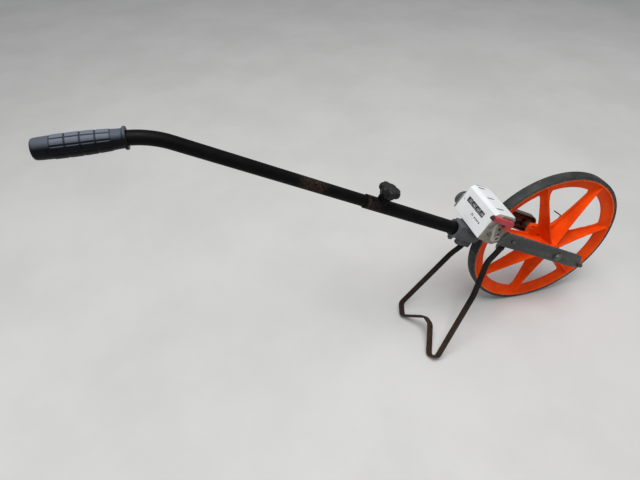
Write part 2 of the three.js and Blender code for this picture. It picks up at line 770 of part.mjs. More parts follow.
// A round wire in a plane square to Y, through the given [x, z] points
const pointerY = forkHalfGap + pointerRadius * 2;
function wire(route, radius) {
  const points = route.map(([x, z]) => new THREE.Vector3(x, pointerY, z));
  return skinned(points.map((point, i) => {
    const into = (i ? point.clone().sub(points[i - 1]) : points[1].clone().sub(point)).normalize();
    const out = (i < points.length - 1 ? points[i + 1].clone().sub(point) : into.clone()).normalize();
    const side = into.clone().add(out).normalize();
    const across = new THREE.Vector3(-side.z, 0, side.x);
    const reach = radius / Math.sqrt((1 + into.dot(out)) / 2);
    const ring = [];
    for (let k = 0; k < smallSides / 2; k += 1) {
      const a = 4 * Math.PI * k / smallSides;
      ring.push(point.clone().addScaledVector(across, reach * Math.cos(a))
        .add(new THREE.Vector3(0, radius * Math.sin(a), 0)));
    }
    return ring;
  }));
}
const pointerRoute = [
  [pointerFoot, pointerFootRise],
  [pointerBend, pointerElbowRise],
  [pointerBend, pointerBendRise - pointerRadius],
  [pointerBend - pointerRadius * 2, pointerBendRise + pointerRadius],
  [pointerTip, pointerTipRise],
];

// Far arm: the hollow belt cover, open toward the wheel
const housingShell = cut(
  plateY(beltOutline(0, 0, housingNoseRadius, inputX, inputRise, housingTailRadius), forkHalfGap, housingOuter),
  plateY(beltOutline(
    0, 0, housingNoseRadius - housingWall, inputX, inputRise, housingTailRadius - housingWall,
  ), forkHalfGap - cutOverrun, housingFloor),
);
const farScrewBoss = barY(screwHeadRadius, forkHalfGap, housingFloor + cutOverrun, armScrewX, armRise);
const axleBoss = barY(housingBossRadius, housingBossFace, housingFloor + cutOverrun, 0, 0, roundSides);
piece(frame, 'far_arm_housing', cut(
  join(housingShell, farScrewBoss, axleBoss),
  barY(boreRadius, housingBossFace - cutOverrun, housingOuter + cutOverrun, 0, 0, roundSides),
  barY(screwRadius + fitGap, forkHalfGap - cutOverrun, housingFloor, armScrewX, armRise),
  wire(pointerRoute.slice(0, 2), pointerRadius + fitGap),
), darkPaint);
piece(frame, 'far_arm_screw', screwY(-1, plateInner, armScrewX, armRise, screwLength + plateThickness), brightSteel);

// Drive belt round both pulleys
const beltInner = pulleyRadius - beltThickness / 2 + fitGap;
piece(frame, 'drive_belt', cut(
  plateY(beltOutline(0, 0, beltInner + beltThickness, inputX, inputRise, beltInner + beltThickness),
    pulleyMiddle - beltWidth / 2, pulleyMiddle + beltWidth / 2),
  plateY(beltOutline(0, 0, beltInner, inputX, inputRise, beltInner),
    pulleyMiddle - beltWidth, pulleyMiddle + beltWidth),
), beltRubber);

// Pointer wire, hooked through the nose of the belt cover
piece(frame, 'pointer_wire', wire(pointerRoute, pointerRadius), blackPaint);

// Reset lever, hooked down at the front, with its pin and return spring
const leverInner = -plateOuter - runningGap;
const leverOuter = leverInner - leverThickness;
const leverTail = counterRear - leverOverhang;
const leverNose = leverTail + leverReach;
// Outline from the tail and from the nose, as shares of the lever's height
const leverTailShares = [[0.4, 0.5], [0, 0.1], [0, -0.35], [0.5, -0.5]];
const leverNoseShares = [[-1.7, -0.5], [-1.5, -1.5], [-0.6, -1.5], [0, -0.4], [0, 0.1], [-0.4, 0.5]];
piece(frame, 'reset_lever', cut(
  plateY(outline([
    ...leverTailShares.map(([x, z]) => [leverTail + leverHeight * x, leverPivotRise + leverHeight * z]),
    ...leverNoseShares.map(([x, z]) => [leverNose + leverHeight * x, leverPivotRise + leverHeight * z]),
  ]), leverOuter, leverInner),
  barY(leverPinRadius + fitGap, leverOuter + leverPinCover, leverInner + cutOverrun, leverX, leverPivotRise),
), redPlastic);
const leverSpringFace = -coverHalfLength + coverWall + fitGap;
piece(frame, 'reset_lever_pin', barY(
  leverPinRadius, leverOuter + leverPinCover + fitGap, leverSpringFace + leverSpringWidth, leverX, leverPivotRise,
), brightSteel);
piece(frame, 'reset_lever_spring', ringY(
  leverSpringRadius, leverPinRadius + fitGap, leverSpringFace, leverSpringFace + leverSpringWidth,
  leverX, leverPivotRise,
), brightSteel);

// Handle socket under the counter floor
const handleZ = -handleDrop;
const socketRadius = lowerTubeRadius + fitGap + socketWall;
const mouthX = counterRear - socketOverhang;
const socketFront = mouthX + socketDepth + socketWall * 2;
const socketTopZ = floorUnder - fitGap;
const socketWaist = socketRadius * socketWaistShare;
const setScrewX = mouthX + setScrewInset;
const socketBody = cut(
  join(
    barX(socketRadius, mouthX, socketFront, 0, handleZ, roundSides),
    block(mouthX + socketWall, socketFront, -socketWaist, socketWaist, handleZ, socketTopZ),
    block(mouthX + socketRibStart, socketFront + socketWall, -socketWall, socketWall,
      handleZ - socketRibDrop, handleZ),
    barZ(socketWall, handleZ - socketRadius - socketWall, handleZ, setScrewX),
    block(counterRear + socketWall, counterFront - socketWall, -socketFlangeHalf, socketFlangeHalf,
      socketTopZ - socketFlangeThickness, socketTopZ + fitGap / 2),
  ),
  barX(lowerTubeRadius + fitGap, mouthX - cutOverrun, mouthX + socketDepth, 0, handleZ, roundSides),
  barZ(screwRadius + fitGap, handleZ - socketRadius * 2, handleZ, setScrewX),
  ...[-flangeScrewY, flangeScrewY].map((y) =>
    barZ(screwRadius, socketTopZ - socketFlangeThickness - cutOverrun, floorUnder, counterMiddle, y)),
  block(mouthX - cutOverrun, socketFront + cutOverrun, -socketFlangeHalf, socketFlangeHalf,
    socketTopZ, handleZ + socketRadius + cutOverrun),
);
piece(frame, 'handle_socket', socketBody, darkCasting);

// Handle tubes
function pipe(stations, outer, inner) {
  const ring = (station, radius) => {
    const list = [];
    for (let i = 0; i < roundSides; i += 1) {
      const a = 2 * Math.PI * i / roundSides;
      list.push(new THREE.Vector3(
        station.x - radius * Math.sin(station.lean) * Math.cos(a),
        radius * Math.sin(a),
        station.z + radius * Math.cos(station.lean) * Math.cos(a),
      ));
    }
    return list;
  };
  const ends = [stations[0], stations[stations.length - 1]].map((station, i) => ({
    x: station.x + (i ? 1 : -1) * Math.cos(station.lean) * cutOverrun,
    z: station.z + (i ? 1 : -1) * Math.sin(station.lean) * cutOverrun,
    lean: station.lean,
  }));
  const body = skinned(stations.map((station) => ring(station, outer)));
  const bore = skinned([ends[0], ...stations.slice(1, -1), ends[1]].map((station) => ring(station, inner)));
  return cut(body, bore);
}

const lowerTubeEnd = mouthX + socketDepth - fitGap;
const lowerTubeTop = lowerTubeEnd - lowerTubeLength;
const clampX = lowerTubeTop + clampInset;
const lowerInner = lowerTubeRadius - lowerTubeWall;
const lowerTube = cut(
  pipe([
    { x: lowerTubeTop, z: handleZ, lean: 0 },
    { x: lowerTubeEnd, z: handleZ, lean: 0 },
  ], lowerTubeRadius, lowerInner),
  barZ(clampScrewRadius + fitGap, handleZ, handleZ + lowerTubeRadius * 2, clampX),
);
piece(frame, 'lower_tube', lowerTube, blackPaint);

// The upper tube is straight in the fork's direction and bends level before the grip
const cosTilt = Math.cos(tilt);
const sinTilt = Math.sin(tilt);
const frameToWorld = (x, z) => ({ x: x * cosTilt + z * sinTilt, z: wheelRadius - x * sinTilt + z * cosTilt });
const cornerFrameX = -(handleHeight - wheelRadius - handleZ * cosTilt) / sinTilt;
const corner = frameToWorld(cornerFrameX, handleZ);
const bendRadius = bendTangent / Math.tan(tilt / 2);
const bendEndX = corner.x - bendTangent;
const bendSteps = 7;
const gripMouthX = bendEndX + gripInset;
const tubeEndX = gripMouthX - gripLength + gripEndThickness + fitGap;
const upperFootX = mouthX - upperTubeInside;
const upperFoot = frameToWorld(upperFootX, handleZ);
const upperStations = [{ x: tubeEndX, z: handleHeight, lean: 0 }];
for (let i = 0; i <= bendSteps; i += 1) {
  const lean = -tilt * i / bendSteps;
  upperStations.push({
    x: bendEndX - bendRadius * Math.sin(lean),
    z: handleHeight - bendRadius * (1 - Math.cos(lean)),
    lean,
  });
}
upperStations.push({ x: upperFoot.x, z: upperFoot.z, lean: -tilt });
piece(handleEnd, 'upper_tube', pipe(upperStations, upperTubeRadius, upperTubeRadius - upperTubeWall), blackPaint);

// A plastic bush at the foot of the inner tube guides it in the outer one
const guideRadius = lowerInner - fitGap / 2;
piece(frame, 'tube_guide_bush', join(
  barX(guideRadius, upperFootX + fitGap, upperFootX + guideHeadLength, 0, handleZ, roundSides),
  barX(upperTubeRadius - upperTubeWall - fitGap, upperFootX - guidePlugLength,
    upperFootX + guideHeadLength / 2, 0, handleZ, roundSides),
), bearingPlastic);

// Grip with a flange at its mouth and a closed end
const gripBore = upperTubeRadius + fitGap;
// Outline of the swelling, as shares of the grip's radius and length
const gripSwellShares = [[0, 1], [0.62, 1], [0.83, 0.975], [0.95, 0.75], [1, 0.45], [0.95, 0.25], [0.83, 0.09]];
const gripBody = turnedY([
  ...gripSwellShares.map(([across, along]) => [gripRadius * across, gripLength * along]),
  [gripNeckRadius, gripFlangeThickness],
  [gripFlangeRadius, gripFlangeThickness - gripFlangeChamfer],
  [gripFlangeRadius, 0],
  [gripBore, 0],
  [gripBore, gripLength - gripEndThickness],
  [0, gripLength - gripEndThickness],
].reverse(), roundSides).rotate([0, 0, 90]).translate([gripMouthX, 0, handleHeight]);
piece(handleEnd, 'grip', gripBody, blackRubber);

// Clamp: a threaded boss on the lower tube, a screw and a lobed knob
const tubeTop = handleZ + lowerTubeRadius;
const bossTop = tubeTop + clampBossHeight;
piece(frame, 'clamp_boss', cut(
  barZ(clampBossRadius, handleZ, bossTop, clampX, 0, roundSides),
  barX(lowerTubeRadius + fitGap, clampX - clampBossRadius * 2, clampX + clampBossRadius * 2, 0, handleZ, roundSides),
  barZ(clampScrewRadius + fitGap, handleZ, bossTop + cutOverrun, clampX),
), blackPaint);
const knobFoot = bossTop + runningGap;
const knobHead = knobFoot + knobSkirtHeight;
const knobTop = knobHead + knobHeadHeight;
const knobOutline = new THREE.Shape();
const knobPoints = knobLobes * knobLobeSteps;
for (let i = 0; i < knobPoints; i += 1) {
  const a = 2 * Math.PI * i / knobPoints;
  const radius = knobRadius - knobLobeDepth + knobLobeDepth * Math.cos(a * knobLobes);
  if (i) knobOutline.lineTo(radius * Math.cos(a), radius * Math.sin(a));
  else knobOutline.moveTo(radius, 0);
}
const knobHeadGeometry = new THREE.ExtrudeGeometry(knobOutline, { depth: knobHeadHeight, bevelEnabled: false });
knobHeadGeometry.translate(clampX, 0, knobHead);
const screwFoot = handleZ + upperTubeRadius + fitGap;
const screwTop = knobHead + knobHeadHeight / 2;
piece(frame, 'clamp_knob', cut(
  join(solid(knobHeadGeometry), barZ(knobSkirtRadius, knobFoot, knobHead + cutOverrun, clampX, 0, roundSides)),
  barZ(clampScrewRadius + fitGap, knobFoot - cutOverrun, screwTop + fitGap, clampX),
), blackPlastic);
piece(frame, 'clamp_screw', barZ(clampScrewRadius, screwFoot, screwTop, clampX), brightSteel);

// Screws under the counter floor hold the socket
function screwDown(y) {
  const head = -counterFloorDrop + fitGap;
  return join(
    barZ(screwHeadRadius, head, head + screwHeadHeight, counterMiddle, y),
    barZ(screwRadius - fitGap, socketTopZ - socketFlangeThickness, head + screwHeadHeight / 2, counterMiddle, y),
  );
}
piece(frame, 'near_socket_screw', screwDown(-flangeScrewY), brightSteel);
piece(frame, 'far_socket_screw', screwDown(flangeScrewY), brightSteel);
piece(frame, 'socket_set_screw', barZ(
  screwRadius, handleZ - socketRadius - socketWall - setScrewProud, handleZ - lowerTubeRadius - fitGap, setScrewX,
), brightSteel);

// Kickstand: stations along the strip, each a place down the legs and a place along Y
const pivot = frameToWorld(standX, standZ);
const nearLeg = -plateOuter + standStripThickness / 2;
const footReachAt = (y) => standFootReach + standFootTwistShare * (y + standTwistMiddle);
function legFrame(y) {
  const across = footReachAt(y);
  const length = Math.hypot(across, pivot.z);
  return {
    down: new THREE.Vector3(-across / length, 0, -pivot.z / length),
    wide: new THREE.Vector3(pivot.z / length, 0, -across / length),
    length,
  };
}
const footLift = (lean) =>
  (standStripThickness / 2) * -lean.down.z + (standStripWidth / 2) * -lean.wide.z;
const standPoint = (share, y, lift = 0) => {
  const lean = legFrame(y);
  const foot = (pivot.z - footLift(lean)) / -lean.down.z;
  const place = lean.down.clone().multiplyScalar(share * foot - lift);
  return { point: new THREE.Vector3(pivot.x, y, pivot.z).add(place), wide: lean.wide };
};
const notchHalf = standNotchWidth / 2;
// Places down the near leg, as shares of its length and of its spread, then the same for the far leg
const nearLegShares = [[0.152, 0.02], [0.396, 0.444], [0.93, 1]];
const farLegShares = [[0.95, 1], [0.34, 1], [0.24, 0]];
// How far down the legs the feet bend, as a share, so that their sharp corners just touch the floor
const footLowShare = 0.99764;
// Places along each foot from its outer end, as shares of its length
const nearFootShares = [1];
const farFootShares = [1];
const standRoute = [
  standPoint(0, nearLeg),
  ...nearLegShares.map(([down, out]) => standPoint(down, nearLeg + out * (-standNearSpread - nearLeg))),
  ...nearFootShares.map((run) => standPoint(footLowShare, -standNearSpread + run * standFootLength)),
  standPoint(1, -standNotchShift - notchHalf, standNotchRise),
  standPoint(1, -standNotchShift + notchHalf, standNotchRise),
  ...farFootShares.map((run) => standPoint(footLowShare, standFarSpread - run * standFootLength)),
  ...farLegShares.map(([down, out]) => standPoint(down, standFarPivot + out * (standFarSpread - standFarPivot))),
  standPoint(0, standFarPivot),
];

function strip(route, width, thickness) {
  const rings = route.map(({ point, wide }, i) => {
    const before = route[Math.max(i - 1, 0)].point;
    const after = route[Math.min(i + 1, route.length - 1)].point;
    const into = point.clone().sub(before).normalize();
    const out = after.clone().sub(point).normalize();
    const along = into.clone().add(out).normalize();
    const flat = new THREE.Vector3().crossVectors(along, wide).normalize();
    const turn = i && i < route.length - 1 ? into.dot(along) : 1;
    const w = wide.clone().multiplyScalar(width / 2);
    const t = flat.multiplyScalar(thickness / 2 / turn);
    return [
      point.clone().add(w).add(t),
      point.clone().add(w).sub(t),
      point.clone().sub(w).sub(t),
      point.clone().sub(w).add(t),
    ];
  });
  return skinned(rings);
}
const standEye = (y) => barY(
  standStripWidth / 2, y - standStripThickness / 2, y + standStripThickness / 2, pivot.x, pivot.z, roundSides,
);
piece(standSet, 'kickstand', cut(
  join(strip(standRoute, standStripWidth, standStripThickness), standEye(nearLeg), standEye(standFarPivot)),
  holeY(-plateOuter, -plateInner, pivot.x, pivot.z, standBoltRadius),
  holeY(standFarPivot - standStripThickness, farLugInner, pivot.x, pivot.z, standBoltRadius),
), rustyPaint);

// Pivot bolts of the stand, each with its nut
const nearNutFace = nearLugInner + fitGap;
const farNutFace = standFarPivot - standStripThickness / 2 - fitGap - standNutHeight;
const standNut = (y0) => cut(
  hexagonY(standBoltRadius * 2, y0, y0 + standNutHeight, standX, standZ),
  holeY(y0, y0 + standNutHeight, standX, standZ, standBoltRadius),
);
piece(frame, 'near_stand_bolt', screwY(
  -1, -plateOuter, standX, standZ, nearNutFace + standNutHeight + plateOuter + fitGap, standBoltRadius,
), blackPaint);
piece(frame, 'near_stand_nut', standNut(nearNutFace), blackPaint);
piece(frame, 'far_stand_bolt', screwY(
  1, farLugOuter, standX, standZ, farLugOuter - farNutFace + fitGap, standBoltRadius,
), blackPaint);
piece(frame, 'far_stand_nut', standNut(farNutFace), blackPaint);

// The part stands with the middle of its outline over the origin and its lowest point at z = 0
const extent = new THREE.Box3().setFromObject(part);
const middle = extent.getCenter(new THREE.Vector3());
part.position.set(-middle.x, -middle.y, -extent.min.z);

export default part;
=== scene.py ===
import math

import bmesh
import bpy
from mathutils import Matrix, Vector


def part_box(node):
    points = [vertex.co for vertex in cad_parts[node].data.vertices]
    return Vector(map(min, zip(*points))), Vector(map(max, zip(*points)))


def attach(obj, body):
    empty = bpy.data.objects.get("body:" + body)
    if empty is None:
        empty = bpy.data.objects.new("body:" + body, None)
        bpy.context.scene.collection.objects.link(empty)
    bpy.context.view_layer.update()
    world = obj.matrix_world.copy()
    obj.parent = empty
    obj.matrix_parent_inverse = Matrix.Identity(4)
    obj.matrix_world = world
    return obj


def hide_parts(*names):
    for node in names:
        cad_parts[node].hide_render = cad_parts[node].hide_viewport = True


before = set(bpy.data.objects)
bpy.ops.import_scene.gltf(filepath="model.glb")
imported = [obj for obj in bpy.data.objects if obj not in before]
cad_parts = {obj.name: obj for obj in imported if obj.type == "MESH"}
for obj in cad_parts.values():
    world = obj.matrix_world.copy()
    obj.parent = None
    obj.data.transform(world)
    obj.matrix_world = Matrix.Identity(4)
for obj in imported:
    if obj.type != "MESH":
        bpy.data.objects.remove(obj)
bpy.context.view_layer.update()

# The wheel is one moulding in orange plastic: a rim with a thin web, seven fins that deepen
# toward the hub, the hub itself, and a small tongue with a boss. It turns on two bushes.
tyre_low, tyre_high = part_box("tyre")
axle = (tyre_low + tyre_high) / 2
on_axle = Matrix.Translation(axle)
tread_radius = (tyre_high.z - tyre_low.z) / 2
rim_radius = tread_radius - 0.0067
rim_half = 0.010
rim_lip = 0.0030
rim_floor = 0.1305
web_half = 0.0015
spoke_count = 7
first_spoke = math.radians(2.4)
spoke_step = 2 * math.pi / spoke_count
spoke_root = 0.0100
spoke_tip = 0.1485
fin_half = 0.0008
hub_radius = 0.0150
hub_half = 0.0380
hub_bore = 0.0083
centre_web_radius = 0.0400
centre_web_half = 0.0025
boss_reach = 0.0580
boss_radius = 0.0064
boss_hole = 0.0032
boss_half = 0.0040
boss_angle = first_spoke + spoke_step * 2.5
near_fin_tip = 0.0094
near_fin_gain = 0.0246
far_fin_tip = 0.0080
far_fin_gain = 0.0160
spoke_web_wide = 0.0088
spoke_web_gain = 0.0016
spoke_web_flare = 0.0052
fin_foot = 0.0030
fin_foot_gain = 0.0042
web_hole_reach = 0.0245
web_hole_radius = 0.0027
web_hole_half = 0.0200


def squared(mesh):
    """Merges doubles, drops empty faces and turns the faces of a closed mesh outward."""
    shell = bmesh.new()
    shell.from_mesh(mesh)
    bmesh.ops.remove_doubles(shell, verts=shell.verts, dist=1e-6)
    bmesh.ops.dissolve_degenerate(shell, edges=shell.edges, dist=1e-7)
    bmesh.ops.recalc_face_normals(shell, faces=shell.faces)
    shell.to_mesh(mesh)
    shell.free()
    return mesh


def loft(rings, closed=False):
    """A skin over rings of equally many points, capped at its two ends or joined round."""
    count = len(rings[0])
    faces = []
    for r in range(len(rings) if closed else len(rings) - 1):
        a = r * count
        b = (r + 1) % len(rings) * count
        faces += [(a + i, a + (i + 1) % count, b + (i + 1) % count, b + i) for i in range(count)]
    if not closed:
        last = (len(rings) - 1) * count
        faces += [tuple(range(count)), tuple(range(last + count - 1, last - 1, -1))]
    mesh = bpy.data.meshes.new("skin")
    mesh.from_pydata([point for ring in rings for point in ring], [], faces)
    return squared(mesh)


def turned(profile, sides, place=Matrix.Identity(4)):
    """A closed profile of (radius, place along Y) points, turned round the Y axis."""
    rings = []
    for i in range(sides):
        a = 2 * math.pi * i / sides
        rings.append([(r * math.cos(a), y, r * math.sin(a)) for r, y in profile])
    mesh = loft(rings, closed=True)
    mesh.transform(place)
    return mesh


def merged(*meshes):
    """Several meshes as one, each still a shell of its own."""
    shell = bmesh.new()
    for mesh in meshes:
        shell.from_mesh(mesh)
    joined = bpy.data.meshes.new("joined")
    shell.to_mesh(joined)
    shell.free()
    return joined


def worked(body):
    """The mesh of an object with its modifiers worked in; the object is removed."""
    graph = bpy.context.evaluated_depsgraph_get()
    mesh = bpy.data.meshes.new_from_object(body.evaluated_get(graph))
    bpy.data.objects.remove(body)
    return mesh


def bench(mesh, name="bench"):
    """Puts a mesh in the scene as an object to be worked on."""
    body = bpy.data.objects.new(name, mesh)
    bpy.context.scene.collection.objects.link(body)
    return body


def moulded(mesh, voxel, polish):
    """Joins overlapping shells into one skin with soft fillets, as a mould or die gives."""
    body = bench(mesh)
    skin = body.modifiers.new("skin", "REMESH")
    skin.mode = "VOXEL"
    skin.voxel_size = voxel
    soft = body.modifiers.new("soft", "SMOOTH")
    soft.factor = 0.5
    soft.iterations = polish
    return worked(body)


def cut_away(mesh, tool):
    """Takes one mesh away from another."""
    body = bench(mesh)
    cutter = bench(tool)
    taken = body.modifiers.new("cut", "BOOLEAN")
    taken.object = cutter
    taken.solver = "EXACT"
    left = worked(body)
    bpy.data.objects.remove(cutter)
    return left


def extra(name, mesh, material, slot, body, crease=35, node=None):
    """A finished mesh as a piece, smooth but for its creases, with its body; its slot is not used."""
    mesh.shade_smooth()
    mesh.set_sharp_from_angle(angle=math.radians(crease))
    mesh.materials.clear()
    mesh.materials.append(material)
    piece = bench(mesh, name)
    if node:
        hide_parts(node)
    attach(piece, body)


def stand_in(node, mesh, material, slot, body, crease=35):
    """A piece shown in place of a CAD node."""
    extra(node + "_look", mesh, material, slot, body, crease, node)


def finish(name, base, other, patch=40, roughness=0.45, metallic=0.0, grain=900, relief=0.08,
           edge=None, edge_from=0.53, spots=None, spot_size=60, spot_share=0.6, gloss_spread=0.12,
           worn=None, worn_from=0.42, specular=0.3):
    """A finish with two mixed shades, fine grain, paler or barer edges, and spots of a third shade."""
    material = bpy.data.materials.new(name)
    material.use_nodes = True
    nodes = material.node_tree.nodes
    links = material.node_tree.links
    shader = nodes["Principled BSDF"]
    shader.inputs["Metallic"].default_value = metallic
    shader.inputs["Specular IOR Level"].default_value = specular
    where = nodes.new("ShaderNodeTexCoord").outputs["Object"]

    def noise(scale, detail, rough=0.6):
        node = nodes.new("ShaderNodeTexNoise")
        node.inputs["Scale"].default_value = scale
        node.inputs["Detail"].default_value = detail
        node.inputs["Roughness"].default_value = rough
        links.new(where, node.inputs["Vector"])
        return node.outputs["Fac"]

    def ranged(value, low, high, to_low=0.0, to_high=1.0):
        node = nodes.new("ShaderNodeMapRange")
        node.interpolation_type = "SMOOTHSTEP"
        for key, number in (("From Min", low), ("From Max", high), ("To Min", to_low), ("To Max", to_high)):
            node.inputs[key].default_value = number
        links.new(value, node.inputs["Value"])
        return node.outputs["Result"]

    def times(a, b):
        node = nodes.new("ShaderNodeMath")
        node.operation = "MULTIPLY"
        links.new(a, node.inputs[0])
        links.new(b, node.inputs[1])
        return node.outputs[0]

    def mixed(share, a, b):
        node = nodes.new("ShaderNodeMix")
        node.data_type = "RGBA"
        links.new(share, node.inputs["Factor"])
        for key, colour in (("A", a), ("B", b)):
            socket = [s for s in node.inputs if s.name == key and s.type == "RGBA"][0]
            if isinstance(colour, tuple):
                socket.default_value = (*colour, 1)
            else:
                links.new(colour, socket)
        return [s for s in node.outputs if s.type == "RGBA"][0]

    fine = noise(grain, 4)
    colour = mixed(ranged(noise(patch, 6), 0.35, 0.65), base, other)
    if spots:
        blots = ranged(noise(spot_size, 8, 0.7), spot_share, spot_share + 0.06)
        colour = mixed(blots, colour, spots)
    # The mesh's worn attribute mixes in one more colour: wear on most pieces, and partly a painted highlight on
    # the grip and at the lower tube's mouth.
    if worn:
        mark = nodes.new("ShaderNodeAttribute")
        mark.attribute_name = "worn"
        rubbed = times(mark.outputs["Fac"], ranged(noise(260, 8, 0.75), worn_from, worn_from + 0.14))
        colour = mixed(rubbed, colour, worn)
    if edge:
        pointed = nodes.new("ShaderNodeNewGeometry").outputs["Pointiness"]
        rubbed = times(ranged(pointed, edge_from, edge_from + 0.06), ranged(noise(300, 5), 0.4, 0.6))
        colour = mixed(rubbed, colour, edge)
    links.new(colour, shader.inputs["Base Color"])
    gloss = ranged(noise(patch * 3, 5), 0.3, 0.7, roughness - gloss_spread / 2, roughness + gloss_spread / 2)
    links.new(gloss, shader.inputs["Roughness"])
    bump = nodes.new("ShaderNodeBump")
    bump.inputs["Strength"].default_value = relief
    bump.inputs["Distance"].default_value = 0.0006
    links.new(fine, bump.inputs["Height"])
    links.new(bump.outputs["Normal"], shader.inputs["Normal"])
    return material


orange_moulding = finish(
    "orange moulding", (0.85, 0.072, 0.0024), (0.70, 0.050, 0.0018), patch=25, roughness=0.46,
    grain=1400, relief=0.05, edge=(0.92, 0.16, 0.035), spots=(0.40, 0.032, 0.004), spot_size=45,
    spot_share=0.64, specular=0.07,
)


def fin_ring(radius):
    """A spoke's section: a flat web, and a fin that is deeper on the near side."""
    beyond = max(0.0, (spoke_tip - radius) / (spoke_tip - spoke_root))
    near = near_fin_tip + near_fin_gain * beyond ** 1.25
    far = far_fin_tip + far_fin_gain * math.exp((spoke_root - radius) / 0.025)
    flare = math.exp(min(0.0, radius - rim_floor) / 0.0042)
    flare += math.exp(min(0.0, centre_web_radius - radius) / 0.009)
    web = spoke_web_wide + spoke_web_gain * (1 - beyond) + spoke_web_flare * flare
    foot = fin_foot + fin_foot_gain * math.exp((spoke_root - radius) / 0.030)
    ring = []
    for side, deep in ((-1, near), (1, far)):
        half = [(web, web_half), (foot + 0.0022, web_half + 0.0002), (foot, web_half + 0.0016),
                (0.45 * foot + 0.0008, 0.5 * deep), (fin_half + 0.0005, deep - 0.0006), (fin_half, deep)]
        arc = [Vector((radius, side * y, z)) for z, y in half]
        arc += [Vector((radius, side * y, -z)) for z, y in reversed(half)]
        ring += arc if side < 0 else arc[::-1]
    return ring


spokes = []
for i in range(spoke_count):
    spoke = loft([fin_ring(spoke_root + (spoke_tip - spoke_root) * k / 24) for k in range(25)])
    spoke.transform(Matrix.Rotation(-(first_spoke + spoke_step * i), 4, "Y"))
    spokes.append(spoke)


def ring_plate(outer, inner, half, sides=96, lip=0.0006):
    """A flat ring round the axle, its outer edges slightly broken."""
    return turned([
        (inner, -half), (outer - lip, -half), (outer, -half + lip),
        (outer, half - lip), (outer - lip, half), (inner, half),
    ], sides)


tongue_end = boss_reach - boss_hole - 0.0008
tongue_lines = [(0.012, 0.021), (0.030, 0.017), (0.044, 0.0125), (0.051, 0.009), (tongue_end, 0.005)]
tongue = loft([
    [Vector((reach, i * centre_web_half, k * half)) for i, k in ((-1, -1), (1, -1), (1, 1), (-1, 1))]
    for reach, half in tongue_lines
])
to_tongue = Matrix.Rotation(-boss_angle, 4, "Y")
tongue.transform(to_tongue)
to_boss = to_tongue @ Matrix.Translation((boss_reach, 0, 0))
to_web_hole = to_tongue @ Matrix.Translation((web_hole_reach, 0, 0))
boss = turned([
    (boss_hole, -boss_half), (boss_radius, -boss_half), (boss_radius, boss_half), (boss_hole, boss_half),
], 48, to_boss)
hub = turned([
    (hub_bore, -hub_half), (hub_radius - 0.001, -hub_half), (hub_radius, -hub_half + 0.001),
    (hub_radius, hub_half - 0.001), (hub_radius - 0.001, hub_half), (hub_bore, hub_half),
], 64)
star = merged(*spokes, hub, boss, tongue, ring_plate(centre_web_radius, hub_bore, centre_web_half),
              ring_plate(rim_floor + 0.012, rim_floor, web_half + 0.0003, 192))
star = moulded(star, 0.0013, 3)
pocket = turned([
    (0, -web_hole_half), (web_hole_radius, -web_hole_half), (web_hole_radius, web_hole_half),
    (0, web_hole_half),
], 24, to_web_hole)
star = cut_away(star, pocket)

rim_half_profile = [
    (rim_radius, rim_half), (rim_radius - rim_lip + 0.0003, rim_half),
    (rim_radius - rim_lip, rim_half - 0.0004), (rim_radius - rim_lip - 0.0005, rim_half - 0.0012),
    (0.1475, 0.0068), (0.1466, 0.0056), (0.1448, 0.0048), (0.1410, 0.0038), (0.1370, 0.0029),
    (0.1338, 0.0023), (0.1316, 0.0019), (0.1308, 0.0016), (rim_floor, 0.0009),
]
rim = turned(rim_half_profile + [(r, -y) for r, y in reversed(rim_half_profile)], 288)
wheel_mesh = merged(star, rim)
wheel_mesh.transform(on_axle)
stand_in("wheel_moulding", wheel_mesh, orange_moulding, "orange_plastic", "wheel", 50)

# A slotted plug is pressed into the hole of the boss, and a near-black disc in the hole in the web is painted
# shade.
plug_radius = boss_hole - 0.0001
plug_half = 0.0028
plug_ease = 0.0004
slot_half = 0.0005
slot_floor = -0.0018
plug = turned([
    (0, -plug_half), (plug_radius - plug_ease, -plug_half), (plug_radius, -plug_half + plug_ease),
    (plug_radius, plug_half), (0, plug_half),
], 32)
slot_out = -0.0040
slot_corners = ((slot_out, -slot_half), (slot_floor, -slot_half), (slot_floor, slot_half),
                (slot_out, slot_half))
slot_bar = loft([[Vector((x, y, z)) for y, z in slot_corners] for x in (-0.005, 0.005)])
plug_mesh = cut_away(plug, slot_bar)
plug_mesh.transform(on_axle @ to_boss @ Matrix.Rotation(math.radians(40), 4, "Y"))
extra("boss_plug", plug_mesh, orange_moulding, "orange_plastic", "wheel")
# A near-black finish for discs of painted shade set in holes.
hole_shade = finish(
    "hole_shade", (0.006, 0.006, 0.006), (0.012, 0.011, 0.010), patch=200, roughness=0.8, grain=1500, relief=0.2,
    specular=0.1,
)
shade_disc_radius = web_hole_radius + 0.0002
shade_disc_side = [(shade_disc_radius, 0.0011), (0.0016, 0.0008), (0, 0.0007)]
shade_disc_profile = [(r, -y) for r, y in reversed(shade_disc_side)] + shade_disc_side
shade_disc_mesh = turned(shade_disc_profile, 24, on_axle @ to_web_hole)
extra("web_hole_shade", shade_disc_mesh, hole_shade, "orange_plastic", "wheel")

